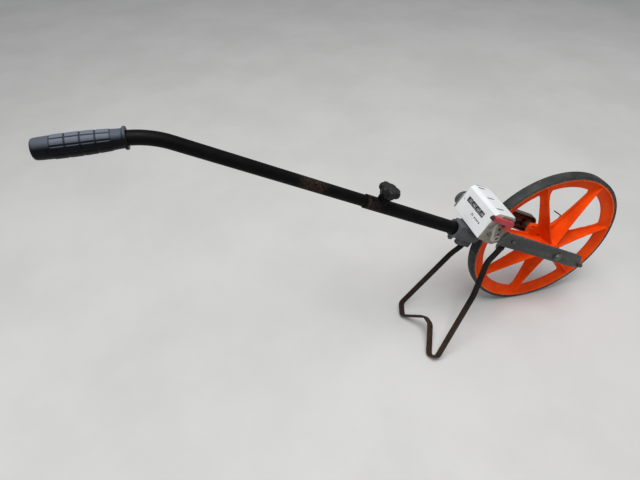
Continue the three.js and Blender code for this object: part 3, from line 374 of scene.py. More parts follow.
# The tyre is a solid band of black rubber, stretched over the rim. Its side is flat with a
# rounded shoulder, and its tread is worn pale in places.
tyre_half = 0.0105
tyre_inside = rim_radius + 0.0003
tyre_curve = [
    (tyre_inside, tyre_half), (tread_radius - 0.0030, tyre_half), (tread_radius - 0.0028, tyre_half - 0.0002),
    (tread_radius - 0.0016, tyre_half - 0.0003), (tread_radius - 0.0008, tyre_half - 0.0009),
    (tread_radius - 0.0003, tyre_half - 0.0019), (tread_radius - 0.0001, tyre_half - 0.0034),
    (tread_radius, 0.0030),
]
worn_rubber = finish(
    "worn rubber", (0.020, 0.021, 0.020), (0.047, 0.050, 0.049), patch=22, roughness=0.74, grain=2200,
    relief=0.35, spots=(0.12, 0.125, 0.12), spot_size=120, spot_share=0.61, edge=(0.10, 0.104, 0.10),
    specular=0.2,
)
tyre_mesh = turned(tyre_curve + [(r, -y) for r, y in reversed(tyre_curve)], 288, on_axle)
stand_in("tyre", tyre_mesh, worn_rubber, "black_rubber", "wheel", 50)

# The axle is a zinc-plated bolt with a domed head, pushed through both arms and held by a nut
# on the far side, with a washer at each end and a spacer tube on each side of the hub.
plated_steel = finish(
    "plated steel", (0.145, 0.150, 0.122), (0.095, 0.098, 0.080), patch=160, roughness=0.42, metallic=0.75,
    grain=2600, relief=0.14, edge=(0.50, 0.50, 0.44), spots=(0.07, 0.05, 0.035), spot_size=420,
    spot_share=0.58,
)
bearing_nylon = finish(
    "bearing nylon", (0.70, 0.65, 0.50), (0.64, 0.59, 0.44), patch=90, roughness=0.5, grain=1800, relief=0.06,
)
black_moulding = finish(
    "black moulding", (0.0055, 0.0055, 0.0062), (0.011, 0.011, 0.0122), patch=120, roughness=0.46, grain=2400,
    relief=0.25, edge=(0.080, 0.080, 0.085), spots=(0.030, 0.029, 0.028), spot_size=300, spot_share=0.62,
    specular=0.2,
)
fork_tilt = math.radians(28.4)
fork = on_axle @ Matrix.Rotation(fork_tilt, 4, "Y")
to_fork = fork.inverted()


def plain_copy(node):
    """A CAD node's mesh, merged, with flat faces joined and nothing left of its shading."""
    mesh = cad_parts[node].data.copy()
    for extra in [a.name for a in mesh.attributes if a.name == "custom_normal"]:
        mesh.attributes.remove(mesh.attributes[extra])
    shell = bmesh.new()
    shell.from_mesh(mesh)
    bmesh.ops.remove_doubles(shell, verts=shell.verts, dist=2e-6)
    bmesh.ops.dissolve_limit(shell, angle_limit=math.radians(1), verts=shell.verts, edges=shell.edges)
    shell.to_mesh(mesh)
    shell.free()
    return mesh


def eased(node, edge, steps=2):
    """A CAD node's own shape with its sharp edges rounded off."""
    mesh = plain_copy(node)
    shell = bmesh.new()
    shell.from_mesh(mesh)
    sharp = [e for e in shell.edges if len(e.link_faces) == 2 and e.calc_face_angle() > math.radians(40)]
    bmesh.ops.bevel(shell, geom=sharp, offset=edge, offset_type="OFFSET", segments=steps, profile=0.5,
                    affect="EDGES", clamp_overlap=True)
    shell.to_mesh(mesh)
    shell.free()
    return mesh


for node, edge in (("near_axle_washer", 0.0003), ("far_axle_washer", 0.0003), ("axle_nut", 0.0006)):
    stand_in(node, eased(node, edge), plated_steel, "bright_steel", "frame")

bolt_low, bolt_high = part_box("axle_bolt")
head_out = bolt_low.y - axle.y
bolt_end = bolt_high.y - axle.y
head_radius = 0.0065
shank_radius = 0.0040
thread_start = bolt_end - 0.0125
thread_pitch = 0.00125
head_high = 0.0040
dome = [(head_radius * math.sin(a), head_out + head_high - head_high * math.cos(a))
        for a in (math.radians(8 * i) for i in range(12))]
head_foot = head_out + 0.0042
bolt_profile = dome + [(head_radius, head_foot), (shank_radius, head_foot)]
turns = int((bolt_end - thread_start) / thread_pitch) - 1
for i in range(turns):
    bolt_profile.append((shank_radius, thread_start + i * thread_pitch))
    bolt_profile.append((shank_radius - 0.0005, thread_start + (i + 0.5) * thread_pitch))
bolt_profile += [(shank_radius - 0.0004, bolt_end - 0.0004), (shank_radius - 0.0009, bolt_end)]
bolt_profile.append((0, bolt_end))
stand_in("axle_bolt", turned(bolt_profile, 48, on_axle), plated_steel, "bright_steel", "frame", 50)


def dressed(material, *nodes):
    """Gives CAD nodes whose shape is right a worked finish."""
    for node in nodes:
        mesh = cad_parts[node].data
        if not mesh.materials:
            mesh.materials.append(material)
        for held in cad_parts[node].material_slots:
            held.material = material


dressed(plated_steel, "near_axle_spacer", "far_axle_spacer")
dressed(bearing_nylon, "near_hub_bush", "far_hub_bush")
dusty_moulding = finish(
    "dusty moulding", (0.095, 0.036, 0.019), (0.050, 0.024, 0.015), patch=110, roughness=0.6, grain=2400,
    relief=0.25, spots=(0.016, 0.013, 0.012), spot_size=260, spot_share=0.60, specular=0.1,
)
dressed(dusty_moulding, "hub_pulley")

# The near arm is a flat steel bar with a clipped nose, painted dark grey. It is screwed to the
# counter at one end and held on the axle bolt; a black rubber plug closes its nose.
grey_paint = finish(
    "grey paint", (0.029, 0.031, 0.031), (0.041, 0.044, 0.042), patch=35, roughness=0.42, grain=1600,
    relief=0.14, edge=(0.20, 0.20, 0.19), edge_from=0.54, spots=(0.10, 0.095, 0.085), spot_size=420,
    spot_share=0.66,
)
stand_in("near_arm", eased("near_arm", 0.0005), grey_paint, "dark_paint", "frame")

stand_in("arm_nose_plug", eased("arm_nose_plug", 0.0012, 3), worn_rubber, "black_rubber", "frame")

blacked_steel = finish(
    "blacked steel", (0.060, 0.060, 0.066), (0.038, 0.038, 0.044), patch=160, roughness=0.40, metallic=0.5,
    grain=2600, relief=0.14, edge=(0.20, 0.20, 0.21), spots=(0.030, 0.024, 0.020), spot_size=420,
)
for node, steel in (("near_arm_screw", blacked_steel), ("far_arm_screw", blacked_steel),
                    ("near_plate_screw", plated_steel), ("far_plate_screw", plated_steel)):
    stand_in(node, eased(node, 0.0003), steel, "bright_steel", "frame")

# The far arm is a pressed cover, hollow toward the wheel, that hides the belt from the hub
# pulley to the counter. A thin wire hooked through its nose points at the tread.
housing_paint = finish(
    "housing paint", (0.052, 0.055, 0.057), (0.038, 0.040, 0.042), patch=45, roughness=0.5, grain=1500,
    relief=0.2, edge=(0.16, 0.16, 0.16), spots=(0.050, 0.034, 0.024), spot_size=90, spot_share=0.60,
    worn=(0.150, 0.046, 0.022), worn_from=-1.0,
)
housing_mesh = eased("far_arm_housing", 0.0004)
belt_line = to_fork @ ((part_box("drive_belt")[0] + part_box("drive_belt")[1]) / 2)
rusted = housing_mesh.attributes.new("worn", "FLOAT", "FACE")
for face in housing_mesh.polygons:
    middle = to_fork @ face.center
    faced = to_fork.to_3x3() @ face.normal
    toward = Vector((max(-0.19, min(0.0, middle.x)), middle.y, belt_line.z / 2)) - middle
    rusted.data[face.index].value = 1.0 if faced.y < -0.5 or faced.dot(toward) > 0.001 else 0.0
stand_in("far_arm_housing", housing_mesh, housing_paint, "dark_paint", "frame")

belt_cord = finish(
    "belt cord", (0.085, 0.034, 0.018), (0.055, 0.026, 0.016), patch=200, roughness=0.7, grain=3000,
    relief=0.3,
)
dressed(belt_cord, "drive_belt")
dressed(dusty_moulding, "counter_pulley")
dressed(plated_steel, "input_shaft", "counter_shaft", "pinion_shaft")
dressed(bearing_nylon, "input_gear", "counter_gear", "tens_pinion", "hundreds_pinion", "thousands_pinion")

wire_paint = finish(
    "wire paint", (0.060, 0.040, 0.030), (0.035, 0.032, 0.030), patch=120, roughness=0.5, grain=2000,
    relief=0.2, spots=(0.16, 0.075, 0.035), spot_size=300, spot_share=0.55,
)
wire_low, wire_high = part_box("pointer_wire")
wire_y = (wire_low.y + wire_high.y) / 2 - axle.y
wire_radius = 0.0013
wire_corners = [(0.0174, -0.0032), (0.0625, 0.0057), (0.0690, 0.0070), (0.0690, 0.0135), (0.0690, 0.0400),
                (0.0690, 0.0430), (0.0655, 0.0444), (0.0410, 0.0480)]


def rounded_route(points, rounds):
    """Cuts the corners of an open route, again and again, into a smooth one."""
    for _ in range(rounds):
        fresh = [points[0]]
        for a, b in zip(points, points[1:]):
            fresh += [a.lerp(b, 0.25), a.lerp(b, 0.75)]
        points = fresh[:1] + fresh[2:-1] + [points[-1]]
    return points


def round_bar(route, radius, sides=16):
    """A round bar along a route that stays in one plane square to Y."""
    rings = []
    for i, point in enumerate(route):
        along = (route[min(i + 1, len(route) - 1)] - route[max(i - 1, 0)]).normalized()
        up = along.cross(Vector((0, 1, 0)))
        rings.append([point + radius * (math.cos(a) * up + math.sin(a) * Vector((0, 1, 0)))
                      for a in (2 * math.pi * k / sides for k in range(sides))])
    return loft(rings)


wire_route = rounded_route([Vector((x, wire_y, z)) for x, z in wire_corners], 3)
wire_mesh = round_bar(wire_route, wire_radius)
wire_mesh.transform(fork)
stand_in("pointer_wire", wire_mesh, wire_paint, "black_paint", "frame")

# The counter stands on a die-cast base: a floor between two end plates with ears for the arms
# and lugs for the stand. The near plate has a raised rib, two small holes and an eye.
cast_alloy = finish(
    "cast alloy", (0.27, 0.245, 0.207), (0.19, 0.172, 0.144), patch=90, roughness=0.52, metallic=0.3,
    grain=1100, relief=0.45, edge=(0.44, 0.42, 0.37), spots=(0.065, 0.055, 0.045), spot_size=240, spot_share=0.58,
    worn=(0.43, 0.40, 0.35), worn_from=0.25,
)


def slab(corners, y0, y1):
    """A flat plate square to Y with the given (x, z) outline."""
    return loft([[Vector((x, y, z)) for x, z in corners] for y in (y0, y1)])


def marked(mesh, rule):
    """Writes on each point of the mesh a share, from 0 to 1, of its finish's marking colour: wear and rust
    mostly, and a painted highlight at the lower tube's mouth.
    """
    worn_share = mesh.attributes.new("worn", "FLOAT", "POINT")
    worn_share.data.foreach_set("value", [rule(v.co) for v in mesh.vertices])
    return mesh


base_mesh = plain_copy("counter_base")
base_mesh.transform(to_fork)
rib_line = [(-0.1975, 0.0240), (-0.1945, 0.0125), (-0.1885, 0.0020), (-0.1820, -0.0065), (-0.1755, -0.0095)]
rib_half = 0.0021
rib_left = [(x - rib_half, z - rib_half * 0.8) for x, z in rib_line]
rib_right = [(x + rib_half, z + rib_half * 0.8) for x, z in reversed(rib_line)]
rib = slab(rib_left + rib_right, -0.0509, -0.0480)
rubbed_face = -0.0501
hole_spots = ((-0.1824, 0.0164, 0.0030), (-0.1759, 0.0058, 0.0028))
hole_floor = -0.0468
drill_out = -0.0600
plate_holes = merged(*[turned([(0, drill_out), (r, drill_out), (r, hole_floor), (0, hole_floor)], 24,
                              Matrix.Translation((x, 0, z))) for x, z, r in hole_spots])
base_mesh = moulded(cut_away(merged(base_mesh, rib), plate_holes), 0.0008, 2)
base_mesh = marked(base_mesh, lambda p: max(0.0, min(1.0, (rubbed_face - p.y) / 0.0004)))
base_mesh.transform(fork)
stand_in("counter_base", base_mesh, cast_alloy, "cast_metal", "frame", 60)
# A near-black disc lies in each of the two holes, dished in the middle: painted shade at the bottom of the holes
pit_face = -0.0478
pit_floor = -0.0466
pit_grow = 0.0004
pit_mesh = merged(*[turned([
    (0, pit_face + 0.0004), (r / 2, pit_face + 0.0003), (r + pit_grow, pit_face),
    (r + pit_grow, pit_floor), (0, pit_floor),
], 24, Matrix.Translation((x, 0, z))) for x, z, r in hole_spots])
pit_mesh.transform(fork)
extra("plate_pits", pit_mesh, hole_shade, "cast_metal", "frame")

# The counter cover is a white moulded box with a bevelled rear edge, four windows with black
# frames and three shallow grooves on top. Small grey unit marks sit under the windows.
white_moulding = finish(
    "white moulding", (0.68, 0.69, 0.70), (0.64, 0.65, 0.655), patch=30, roughness=0.42, grain=1300,
    relief=0.07, spots=(0.46, 0.45, 0.42), spot_size=500, spot_share=0.68, edge=(0.74, 0.74, 0.74),
)
# A dark grey for the printed unit marks, and for the painted shade in the cover's grooves.
mark_grey_and_groove_shade = finish(
    "mark grey and groove shade", (0.055, 0.052, 0.050), (0.10, 0.095, 0.09), patch=200, roughness=0.6, grain=1500,
    relief=0.1,
)
cover_mesh = plain_copy("counter_cover")
cover_mesh.transform(to_fork)
cover_mesh = moulded(cover_mesh, 0.00078, 2)
cover_mesh.transform(fork)
stand_in("counter_cover", cover_mesh, white_moulding, "white_plastic", "frame", 60)

# Dark grey strips laid in the three grooves are painted shade.
groove_start = -0.199755
groove_end = groove_start + 0.0165
groove_half = 0.0012
groove_side = [(groove_start, 0.04395), (groove_end, 0.04500), (groove_end, 0.0430), (groove_start, 0.0422)]
groove_places = (0.0378, 0.0046, -0.0286)
groove_shade_mesh = merged(*[slab(groove_side, y - groove_half, y + groove_half) for y in groove_places])
groove_shade_mesh.transform(fork)
extra("cover_groove_shade", groove_shade_mesh, mark_grey_and_groove_shade, "white_plastic", "frame")

counter_rear = -0.210155
window_shift = 0.0032
window_pitch = 0.0142
window_wide = 0.0112
window_tall = 0.0078
window_rise = 0.020
frame_lip = 0.0010
frame_lap = -0.0002
frame_out = counter_rear - 0.0004
frame_in = counter_rear + 0.0014
window_places = [window_shift + (1.5 - i) * window_pitch for i in range(4)]


def window_corners(middle, grown):
    """The four corners of a window, grown by a border all round."""
    wide = window_wide / 2 + grown
    tall = window_tall / 2 + grown
    return [(middle + i * wide, window_rise + k * tall) for i, k in ((-1, -1), (1, -1), (1, 1), (-1, 1))]


frame_rings = []
for y in window_places:
    frame_rings.append(loft([
        [Vector((frame_out, *outer)), Vector((frame_out, *inner)), Vector((frame_in, *inner)),
         Vector((frame_in, *outer))]
        for outer, inner in zip(window_corners(y, frame_lip), window_corners(y, frame_lap))
    ], closed=True))
frames_mesh = merged(*frame_rings)
frames_mesh.transform(fork)
extra("window_frames", frames_mesh, black_moulding, "black_plastic", "frame")

# Each bar's two places across the counter and its two heights
mark_bars = [(0.0395, 0.0375, 0.0125, 0.0145), (0.0012, -0.0042, 0.0066, 0.0076),
             (0.0012, 0.0000, 0.0030, 0.0066), (-0.0030, -0.0042, 0.0030, 0.0066),
             (-0.0012, -0.0020, 0.0036, 0.0056)]
mark_bars += [(y, y - 0.0028, 0.0030 + 0.0012 * (i % 2), 0.0064) for i, y in
              enumerate((-0.0090, -0.0130, -0.0170, -0.0210, -0.0250))]
mark_boxes = []
for y0, y1, z0, z1 in mark_bars:
    corners = [(y0, z0), (y1, z0), (y1, z1), (y0, z1)]
    mark_boxes.append(loft([[Vector((x, y, z)) for y, z in corners]
                            for x in (counter_rear - 0.0001, counter_rear + 0.0008)]))
marks_mesh = merged(*mark_boxes)
marks_mesh.transform(fork)
extra("unit_marks", marks_mesh, mark_grey_and_groove_shade, "black_plastic", "frame")

clear_sheet = finish(
    "clear sheet", (0.86, 0.89, 0.90), (0.82, 0.85, 0.86), patch=60, roughness=0.12, grain=1200, relief=0.02,
    gloss_spread=0.05,
)
clear_sheet.node_tree.nodes["Principled BSDF"].inputs["Alpha"].default_value = 0.16
stand_in("counter_lens", eased("counter_lens", 0.0002), clear_sheet, "clear_plastic", "frame")

# Four black number drums turn side by side on one shaft behind the windows. Each is a moulded
# ring with a raised rim at both sides, and ten white digits are printed round it.
drum_radius = 0.0134
drum_half = 0.0064
drum_bore = 0.0028
digit_tall = 0.0066
digit_white = finish(
    "digit white", (0.80, 0.80, 0.78), (0.72, 0.72, 0.70), patch=200, roughness=0.5, grain=2400, relief=0.05,
)
drum_centre = to_fork @ ((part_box("units_drum")[0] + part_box("units_drum")[1]) / 2)


def printed_digit(character):
    """A digit laid out flat, then cut small enough to be rolled round a drum."""
    type_block = bpy.data.curves.new("digit", "FONT")
    type_block.body = character
    type_block.size = digit_tall * 1.35
    type_block.align_x = "CENTER"
    type_block.align_y = "CENTER"
    type_block.resolution_u = 4
    type_block.offset = 0.00022
    body = bpy.data.objects.new("digit", type_block)
    bpy.context.scene.collection.objects.link(body)
    mesh = worked(body)
    bpy.data.curves.remove(type_block)
    shell = bmesh.new()
    shell.from_mesh(mesh)
    bmesh.ops.triangulate(shell, faces=shell.faces)
    for _ in range(2):
        long_edges = [e for e in shell.edges if e.calc_length() > 0.0012]
        bmesh.ops.subdivide_edges(shell, edges=long_edges, cuts=1)
        bmesh.ops.triangulate(shell, faces=shell.faces)
    top = bmesh.ops.extrude_face_region(shell, geom=shell.faces[:])
    for corner in [v for v in top["geom"] if isinstance(v, bmesh.types.BMVert)]:
        corner.co.z += 0.00015
    shell.to_mesh(mesh)
    shell.free()
    return squared(mesh)


digit_meshes = [printed_digit(str(n)) for n in range(10)]
# Radius and place along the shaft over one half of a drum
drum_side = [
    (drum_radius - 0.0002, drum_half - 0.0014), (drum_radius, drum_half - 0.0012),
    (drum_radius, drum_half - 0.0004), (drum_radius - 0.0004, drum_half), (drum_bore, drum_half),
]
drum_profile = [(r, -y) for r, y in reversed(drum_side)] + drum_side
for name, body_name, y in zip(("thousands_drum", "hundreds_drum", "tens_drum", "units_drum"),
                              ("thousands", "hundreds", "tens", "units"), window_places):
    at_drum = fork @ Matrix.Translation((drum_centre.x, y, drum_centre.z))
    stand_in(name, turned(drum_profile, 72, at_drum), black_moulding, "black_plastic", body_name)
    rolled = []
    for number in range(10):
        flat = digit_meshes[number].copy()
        for corner in flat.vertices:
            turn = math.pi - corner.co.y / drum_radius + number * math.radians(36)
            reach = drum_radius - 0.00025 + corner.co.z
            corner.co = Vector((reach * math.cos(turn), -corner.co.x, reach * math.sin(turn)))
        rolled.append(squared(flat))
    digits_mesh = merged(*rolled)
    digits_mesh.transform(at_drum)
    extra(name + "_digits", digits_mesh, digit_white, "white_plastic", body_name)

# The reset lever is a red moulded finger outside the near end plate, hooked down at its nose.
# It is pinned through the plate, and a small ring spring inside pushes it back.
red_moulding = finish(
    "red moulding", (0.47, 0.046, 0.056), (0.40, 0.034, 0.042), patch=90, roughness=0.42, grain=1500,
    relief=0.1, edge=(0.60, 0.13, 0.13), spots=(0.24, 0.018, 0.022), spot_size=200, spot_share=0.64,
    worn=(0.045, 0.012, 0.014), worn_from=-1.0,
)
lever_mesh = plain_copy("reset_lever")
lever_mesh.transform(to_fork)
lever_mesh = moulded(lever_mesh, 0.0005, 6)
# The rear end of the lever, up to about 4 mm in, is coloured near-black red.
dark_end_line = min(v.co.x for v in lever_mesh.vertices) + 0.0042
lever_mesh = marked(lever_mesh, lambda p: max(0.0, min(1.0, (dark_end_line - p.x) / 0.0010)))
lever_mesh.transform(fork)
stand_in("reset_lever", lever_mesh, red_moulding, "red_plastic", "reset", 60)
dressed(plated_steel, "reset_lever_pin", "reset_lever_spring")

# The handle socket is a grey painted casting with a flange under the counter floor, a round
# mouth for the tube, a rib underneath and a boss for a set screw.
socket_paint = finish(
    "socket paint", (0.050, 0.053, 0.059), (0.085, 0.088, 0.097), patch=60, roughness=0.5, grain=900,
    relief=0.5, edge=(0.17, 0.175, 0.185), spots=(0.020, 0.018, 0.016), spot_size=260, spot_share=0.58,
)
socket_mesh = plain_copy("handle_socket")
socket_mesh.transform(to_fork)
socket_mesh = moulded(socket_mesh, 0.00075, 4)
socket_mesh.transform(fork)
stand_in("handle_socket", socket_mesh, socket_paint, "dark_casting", "frame", 60)
for node in ("near_socket_screw", "far_socket_screw", "socket_set_screw"):
    stand_in(node, eased(node, 0.0003), plated_steel, "bright_steel", "frame")

# The lower handle tube is thin steel tube in black paint, pushed into the socket. Its free end
# is rubbed down to brown where the clamp works, and a thin paler line near its mouth is a painted highlight.
tube_paint = finish(
    "tube paint", (0.0018, 0.0018, 0.0021), (0.0030, 0.0030, 0.0034), patch=30, roughness=0.5, grain=1500,
    relief=0.06, spots=(0.009, 0.008, 0.007), spot_size=330, spot_share=0.66, worn=(0.060, 0.034, 0.024),
    specular=0.07,
)
handle_line = -0.033
lower_radius = 0.01225
lower_bore = 0.01065
lower_foot = -0.180255
lower_top = -0.431955
# The paler line near the mouth is a painted highlight
highlight_line_reach = 0.0045
highlight_line_half = 0.0022
brown_band_long = 0.022


def along_tube(stations, outer, inner, sides=96):
    """A tube with a wall over (point, direction) stations, its mouths slightly rounded."""
    def ring(point, along, radius):
        up = along.cross(Vector((0, 1, 0))).normalized()
        return [point + radius * (math.cos(a) * up + math.sin(a) * Vector((0, 1, 0)))
                for a in (2 * math.pi * k / sides for k in range(sides))]
    ease = 0.0004
    start, start_way = stations[0]
    end, end_way = stations[-1]
    rings = [ring(start, start_way, inner), ring(start, start_way, outer - ease),
             ring(start + start_way * ease, start_way, outer)]
    rings += [ring(point, along, outer) for point, along in stations[1:-1]]
    rings += [ring(end - end_way * ease, end_way, outer), ring(end, end_way, outer - ease),
              ring(end, end_way, inner)]
    rings += [ring(point, along, inner) for point, along in reversed(stations[1:-1])]
    return loft(rings, closed=True)


straight = Vector((1, 0, 0))
lower_reaches = [(lower_foot - lower_top) * k / 60 for k in range(61)]
lower_reaches = sorted(lower_reaches + [0.0023, 0.0034, 0.0046, 0.0057, 0.0068])
lower_steps = [(Vector((lower_top + reach, 0, handle_line)), straight) for reach in lower_reaches]
lower_mesh = along_tube(lower_steps, lower_radius, lower_bore)


def lower_rub(point):
    """A paler line close to the tube's mouth, a painted highlight, and a faint brown band of wear behind it."""
    reach = point.x - lower_top
    line = 1 - abs(reach - highlight_line_reach) / highlight_line_half
    return max(0.0, min(1.0, line), 0.28 * min(1.0, 1.6 - reach / brown_band_long))


lower_mesh = marked(lower_mesh, lower_rub)
lower_mesh.transform(fork)
stand_in("lower_tube", lower_mesh, tube_paint, "black_paint", "frame")

# The clamp is a threaded boss welded to the lower tube and a steel screw that presses on the
# upper one. Its knob is a black moulding with seven lobes on a waisted neck.
stand_in("clamp_boss", eased("clamp_boss", 0.0006), tube_paint, "black_paint", "frame")
dressed(plated_steel, "clamp_screw")

knob_x = lower_top + 0.032
boss_rise = 0.0080
knob_gap = 0.0006
knob_foot = handle_line + lower_radius + boss_rise + knob_gap
knob_tall = 0.018
knob_radius = 0.020
knob_lobes = 7
knob_sides = knob_lobes * 20
flute_deep = 0.0034
# Height and width up the knob, and how deep its flutes are, as shares
knob_shares = [
    (0.00, 0.50, 0.0), (0.00, 0.625, 0.0), (0.03, 0.655, 0.0), (0.14, 0.68, 0.05), (0.24, 0.74, 0.25),
    (0.32, 0.84, 0.6), (0.41, 0.94, 0.9), (0.52, 0.99, 1.0), (0.68, 1.00, 1.0), (0.83, 0.985, 1.0),
    (0.93, 0.93, 0.9), (0.98, 0.84, 0.7), (1.00, 0.72, 0.4), (0.995, 0.60, 0.1), (0.965, 0.50, 0.0),
    (0.955, 0.40, 0.0), (0.955, 0.02, 0.0),
]
knob_rings = []
for high, wide, flute in knob_shares:
    ring = []
    z = knob_foot + knob_tall * high
    for k in range(knob_sides):
        a = 2 * math.pi * k / knob_sides
        radius = knob_radius * wide - flute_deep * flute * (0.5 - 0.5 * math.cos(a * knob_lobes)) ** 1.6
        ring.append(Vector((knob_x + radius * math.cos(a), radius * math.sin(a), z)))
    knob_rings.append(ring)
knob_mesh = loft(knob_rings)
knob_mesh.transform(fork)
stand_in("clamp_knob", knob_mesh, black_moulding, "black_plastic", "clamp", 60)

# The upper tube slides in the lower one and bends level before the grip. Its paint is rubbed
# reddish where it has been clamped.
grip_low, grip_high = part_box("grip")
upper_radius = 0.01025
upper_bore = 0.00875
handle_high = (grip_low.z + grip_high.z) / 2
upper_foot = -0.299955
bend_tangent = 0.032
bend_radius = bend_tangent / math.tan(fork_tilt / 2)
foot_point = fork @ Vector((upper_foot, 0, handle_line))
out = Vector((-math.cos(fork_tilt), 0, math.sin(fork_tilt)))
corner_point = foot_point + out * ((handle_high - foot_point.z) / out.z)
bend_start = corner_point - out * bend_tangent
bend_centre = bend_start + Vector((-math.sin(fork_tilt), 0, -math.cos(fork_tilt))) * bend_radius
tube_end = grip_low.x + 0.0038
upper_steps = [(foot_point.lerp(bend_start, k / 60), out) for k in range(60)]
for k in range(25):
    a = fork_tilt * (1 - k / 24)
    spoke_out = Vector((math.sin(a), 0, math.cos(a)))
    upper_steps.append((bend_centre + spoke_out * bend_radius, Vector((-math.cos(a), 0, math.sin(a)))))
level_start = upper_steps[-1][0]
upper_steps += [(level_start.lerp(Vector((tube_end, axle.y, handle_high)), k / 12), Vector((-1, 0, 0)))
                for k in range(1, 13)]
rub_middle = foot_point + out * 0.235
rub_half = 0.022


def upper_rub(point):
    """A faint rubbed band round the tube, where the clamp has held it."""
    return max(0.0, min(0.45, 1.2 - abs((point - rub_middle).dot(out)) / rub_half))


upper_mesh = marked(along_tube(upper_steps, upper_radius, upper_bore), upper_rub)
stand_in("upper_tube", upper_mesh, tube_paint, "black_paint", "handle")
dressed(bearing_nylon, "tube_guide_bush")

# The grip is a black rubber sleeve pushed over the tube: a bead at its mouth, a swelling body
# with rows of raised pads, and a smooth closed end. The pads are raised by a node tree.
grip_long = grip_high.x - grip_low.x
grip_body_radius = 0.0157
grip_inside = 0.0115
pad_slope = 0.0007
# Radius along the grip from mouth to end, as shares of its largest radius and its length
grip_shares = [
    (0.655, 0.000), (0.950, 0.000), (0.985, 0.006), (0.993, 0.016), (0.985, 0.028), (0.950, 0.036),
    (0.880, 0.040), (0.845, 0.048), (0.835, 0.065), (0.840, 0.090), (0.865, 0.150), (0.900, 0.230),
    (0.935, 0.320), (0.960, 0.420), (0.972, 0.520), (0.972, 0.620), (0.965, 0.720), (0.950, 0.820),
    (0.930, 0.900), (0.915, 0.945), (0.890, 0.970), (0.840, 0.985), (0.740, 0.995), (0.600, 1.000),
    (0.000, 1.000), (0.000, 0.968), (0.655, 0.968),
]
grip_fine = []
for (r0, l0), (r1, l1) in zip(grip_shares, grip_shares[1:]):
    pieces_between = max(1, int((l1 - l0) * 150)) if 0.04 < l0 < 0.95 else 1
    grip_fine += [(r0 + (r1 - r0) * k / pieces_between, l0 + (l1 - l0) * k / pieces_between)
                  for k in range(pieces_between)]
grip_fine.append(grip_shares[-1])
grip_mouth = Matrix.Translation((grip_high.x, axle.y, handle_high))
grip_place = grip_mouth @ Matrix.Rotation(math.pi / 2, 4, "Z")
grip_mesh = turned([(r * grip_body_radius, l * grip_long) for r, l in grip_fine], 200)

pad_tree = bpy.data.node_groups.new("raised pads", "GeometryNodeTree")
pad_tree.interface.new_socket(name="Geometry", in_out="INPUT", socket_type="NodeSocketGeometry")
pad_values = {"Rows": 9.0, "Start": 0.0185, "Pitch": 0.0182, "Pads": 4.0, "Gap": 0.0015, "Height": 0.0005}
for label in pad_values:
    pad_tree.interface.new_socket(name=label, in_out="INPUT", socket_type="NodeSocketFloat")
pad_tree.interface.new_socket(name="Geometry", in_out="OUTPUT", socket_type="NodeSocketGeometry")
tree_nodes = pad_tree.nodes
tree_links = pad_tree.links
tree_in = tree_nodes.new("NodeGroupInput")
tree_out = tree_nodes.new("NodeGroupOutput")


def sums(operation, *values):
    """A math node over sockets and numbers."""
    node = tree_nodes.new("ShaderNodeMath")
    node.operation = operation
    for socket, value in zip(node.inputs, values):
        if isinstance(value, (int, float)):
            socket.default_value = value
        else:
            tree_links.new(value, socket)
    return node.outputs[0]


place_of = tree_nodes.new("GeometryNodeInputPosition")
parts_of = tree_nodes.new("ShaderNodeSeparateXYZ")
tree_links.new(place_of.outputs[0], parts_of.inputs[0])
around = sums("ARCTAN2", parts_of.outputs["Z"], parts_of.outputs["X"])
row_turn = sums("DIVIDE", sums("MULTIPLY", around, tree_in.outputs["Rows"]), 2 * math.pi)
row_off = sums("ABSOLUTE", sums("SUBTRACT", sums("FRACT", sums("ADD", row_turn, 40.25)), 0.5))
row_pitch = sums("DIVIDE", 2 * math.pi * grip_body_radius, tree_in.outputs["Rows"])
row_edge = sums("SUBTRACT", sums("MULTIPLY", sums("SUBTRACT", 0.5, row_off), row_pitch),
                sums("MULTIPLY", tree_in.outputs["Gap"], 0.5))
from_start = sums("SUBTRACT", parts_of.outputs["Y"], tree_in.outputs["Start"])
down = sums("DIVIDE", from_start, tree_in.outputs["Pitch"])
pad_off = sums("ABSOLUTE", sums("SUBTRACT", sums("FRACT", sums("ADD", down, 10.0)), 0.5))
pad_edge = sums("SUBTRACT", sums("MULTIPLY", sums("SUBTRACT", 0.5, pad_off), tree_in.outputs["Pitch"]),
                sums("MULTIPLY", tree_in.outputs["Gap"], 0.5))
inside = sums("MULTIPLY", sums("GREATER_THAN", down, 0.0), sums("LESS_THAN", down, tree_in.outputs["Pads"]))
reach_squared = sums("ADD", sums("POWER", parts_of.outputs["X"], 2.0),
                     sums("POWER", parts_of.outputs["Z"], 2.0))
outer_skin = sums("GREATER_THAN", sums("SQRT", reach_squared), grip_inside)
rise = sums("DIVIDE", sums("MINIMUM", row_edge, pad_edge), pad_slope)
rise = sums("MINIMUM", sums("MAXIMUM", rise, 0.0), 1.0)
lift = sums("MULTIPLY", sums("MULTIPLY", rise, inside), outer_skin)
lift = sums("MULTIPLY", lift, tree_in.outputs["Height"])
skin_normal = tree_nodes.new("GeometryNodeInputNormal")
offset = tree_nodes.new("ShaderNodeVectorMath")
offset.operation = "SCALE"
tree_links.new(skin_normal.outputs[0], offset.inputs[0])
tree_links.new(lift, offset.inputs["Scale"])
raised = tree_nodes.new("GeometryNodeSetPosition")
tree_links.new(tree_in.outputs["Geometry"], raised.inputs["Geometry"])
tree_links.new(offset.outputs[0], raised.inputs["Offset"])
whole = tree_nodes.new("GeometryNodeRealizeInstances")
tree_links.new(raised.outputs[0], whole.inputs[0])
coat = tree_nodes.new("GeometryNodeSetMaterial")
tree_links.new(whole.outputs[0], coat.inputs["Geometry"])
tree_links.new(coat.outputs[0], tree_out.inputs["Geometry"])
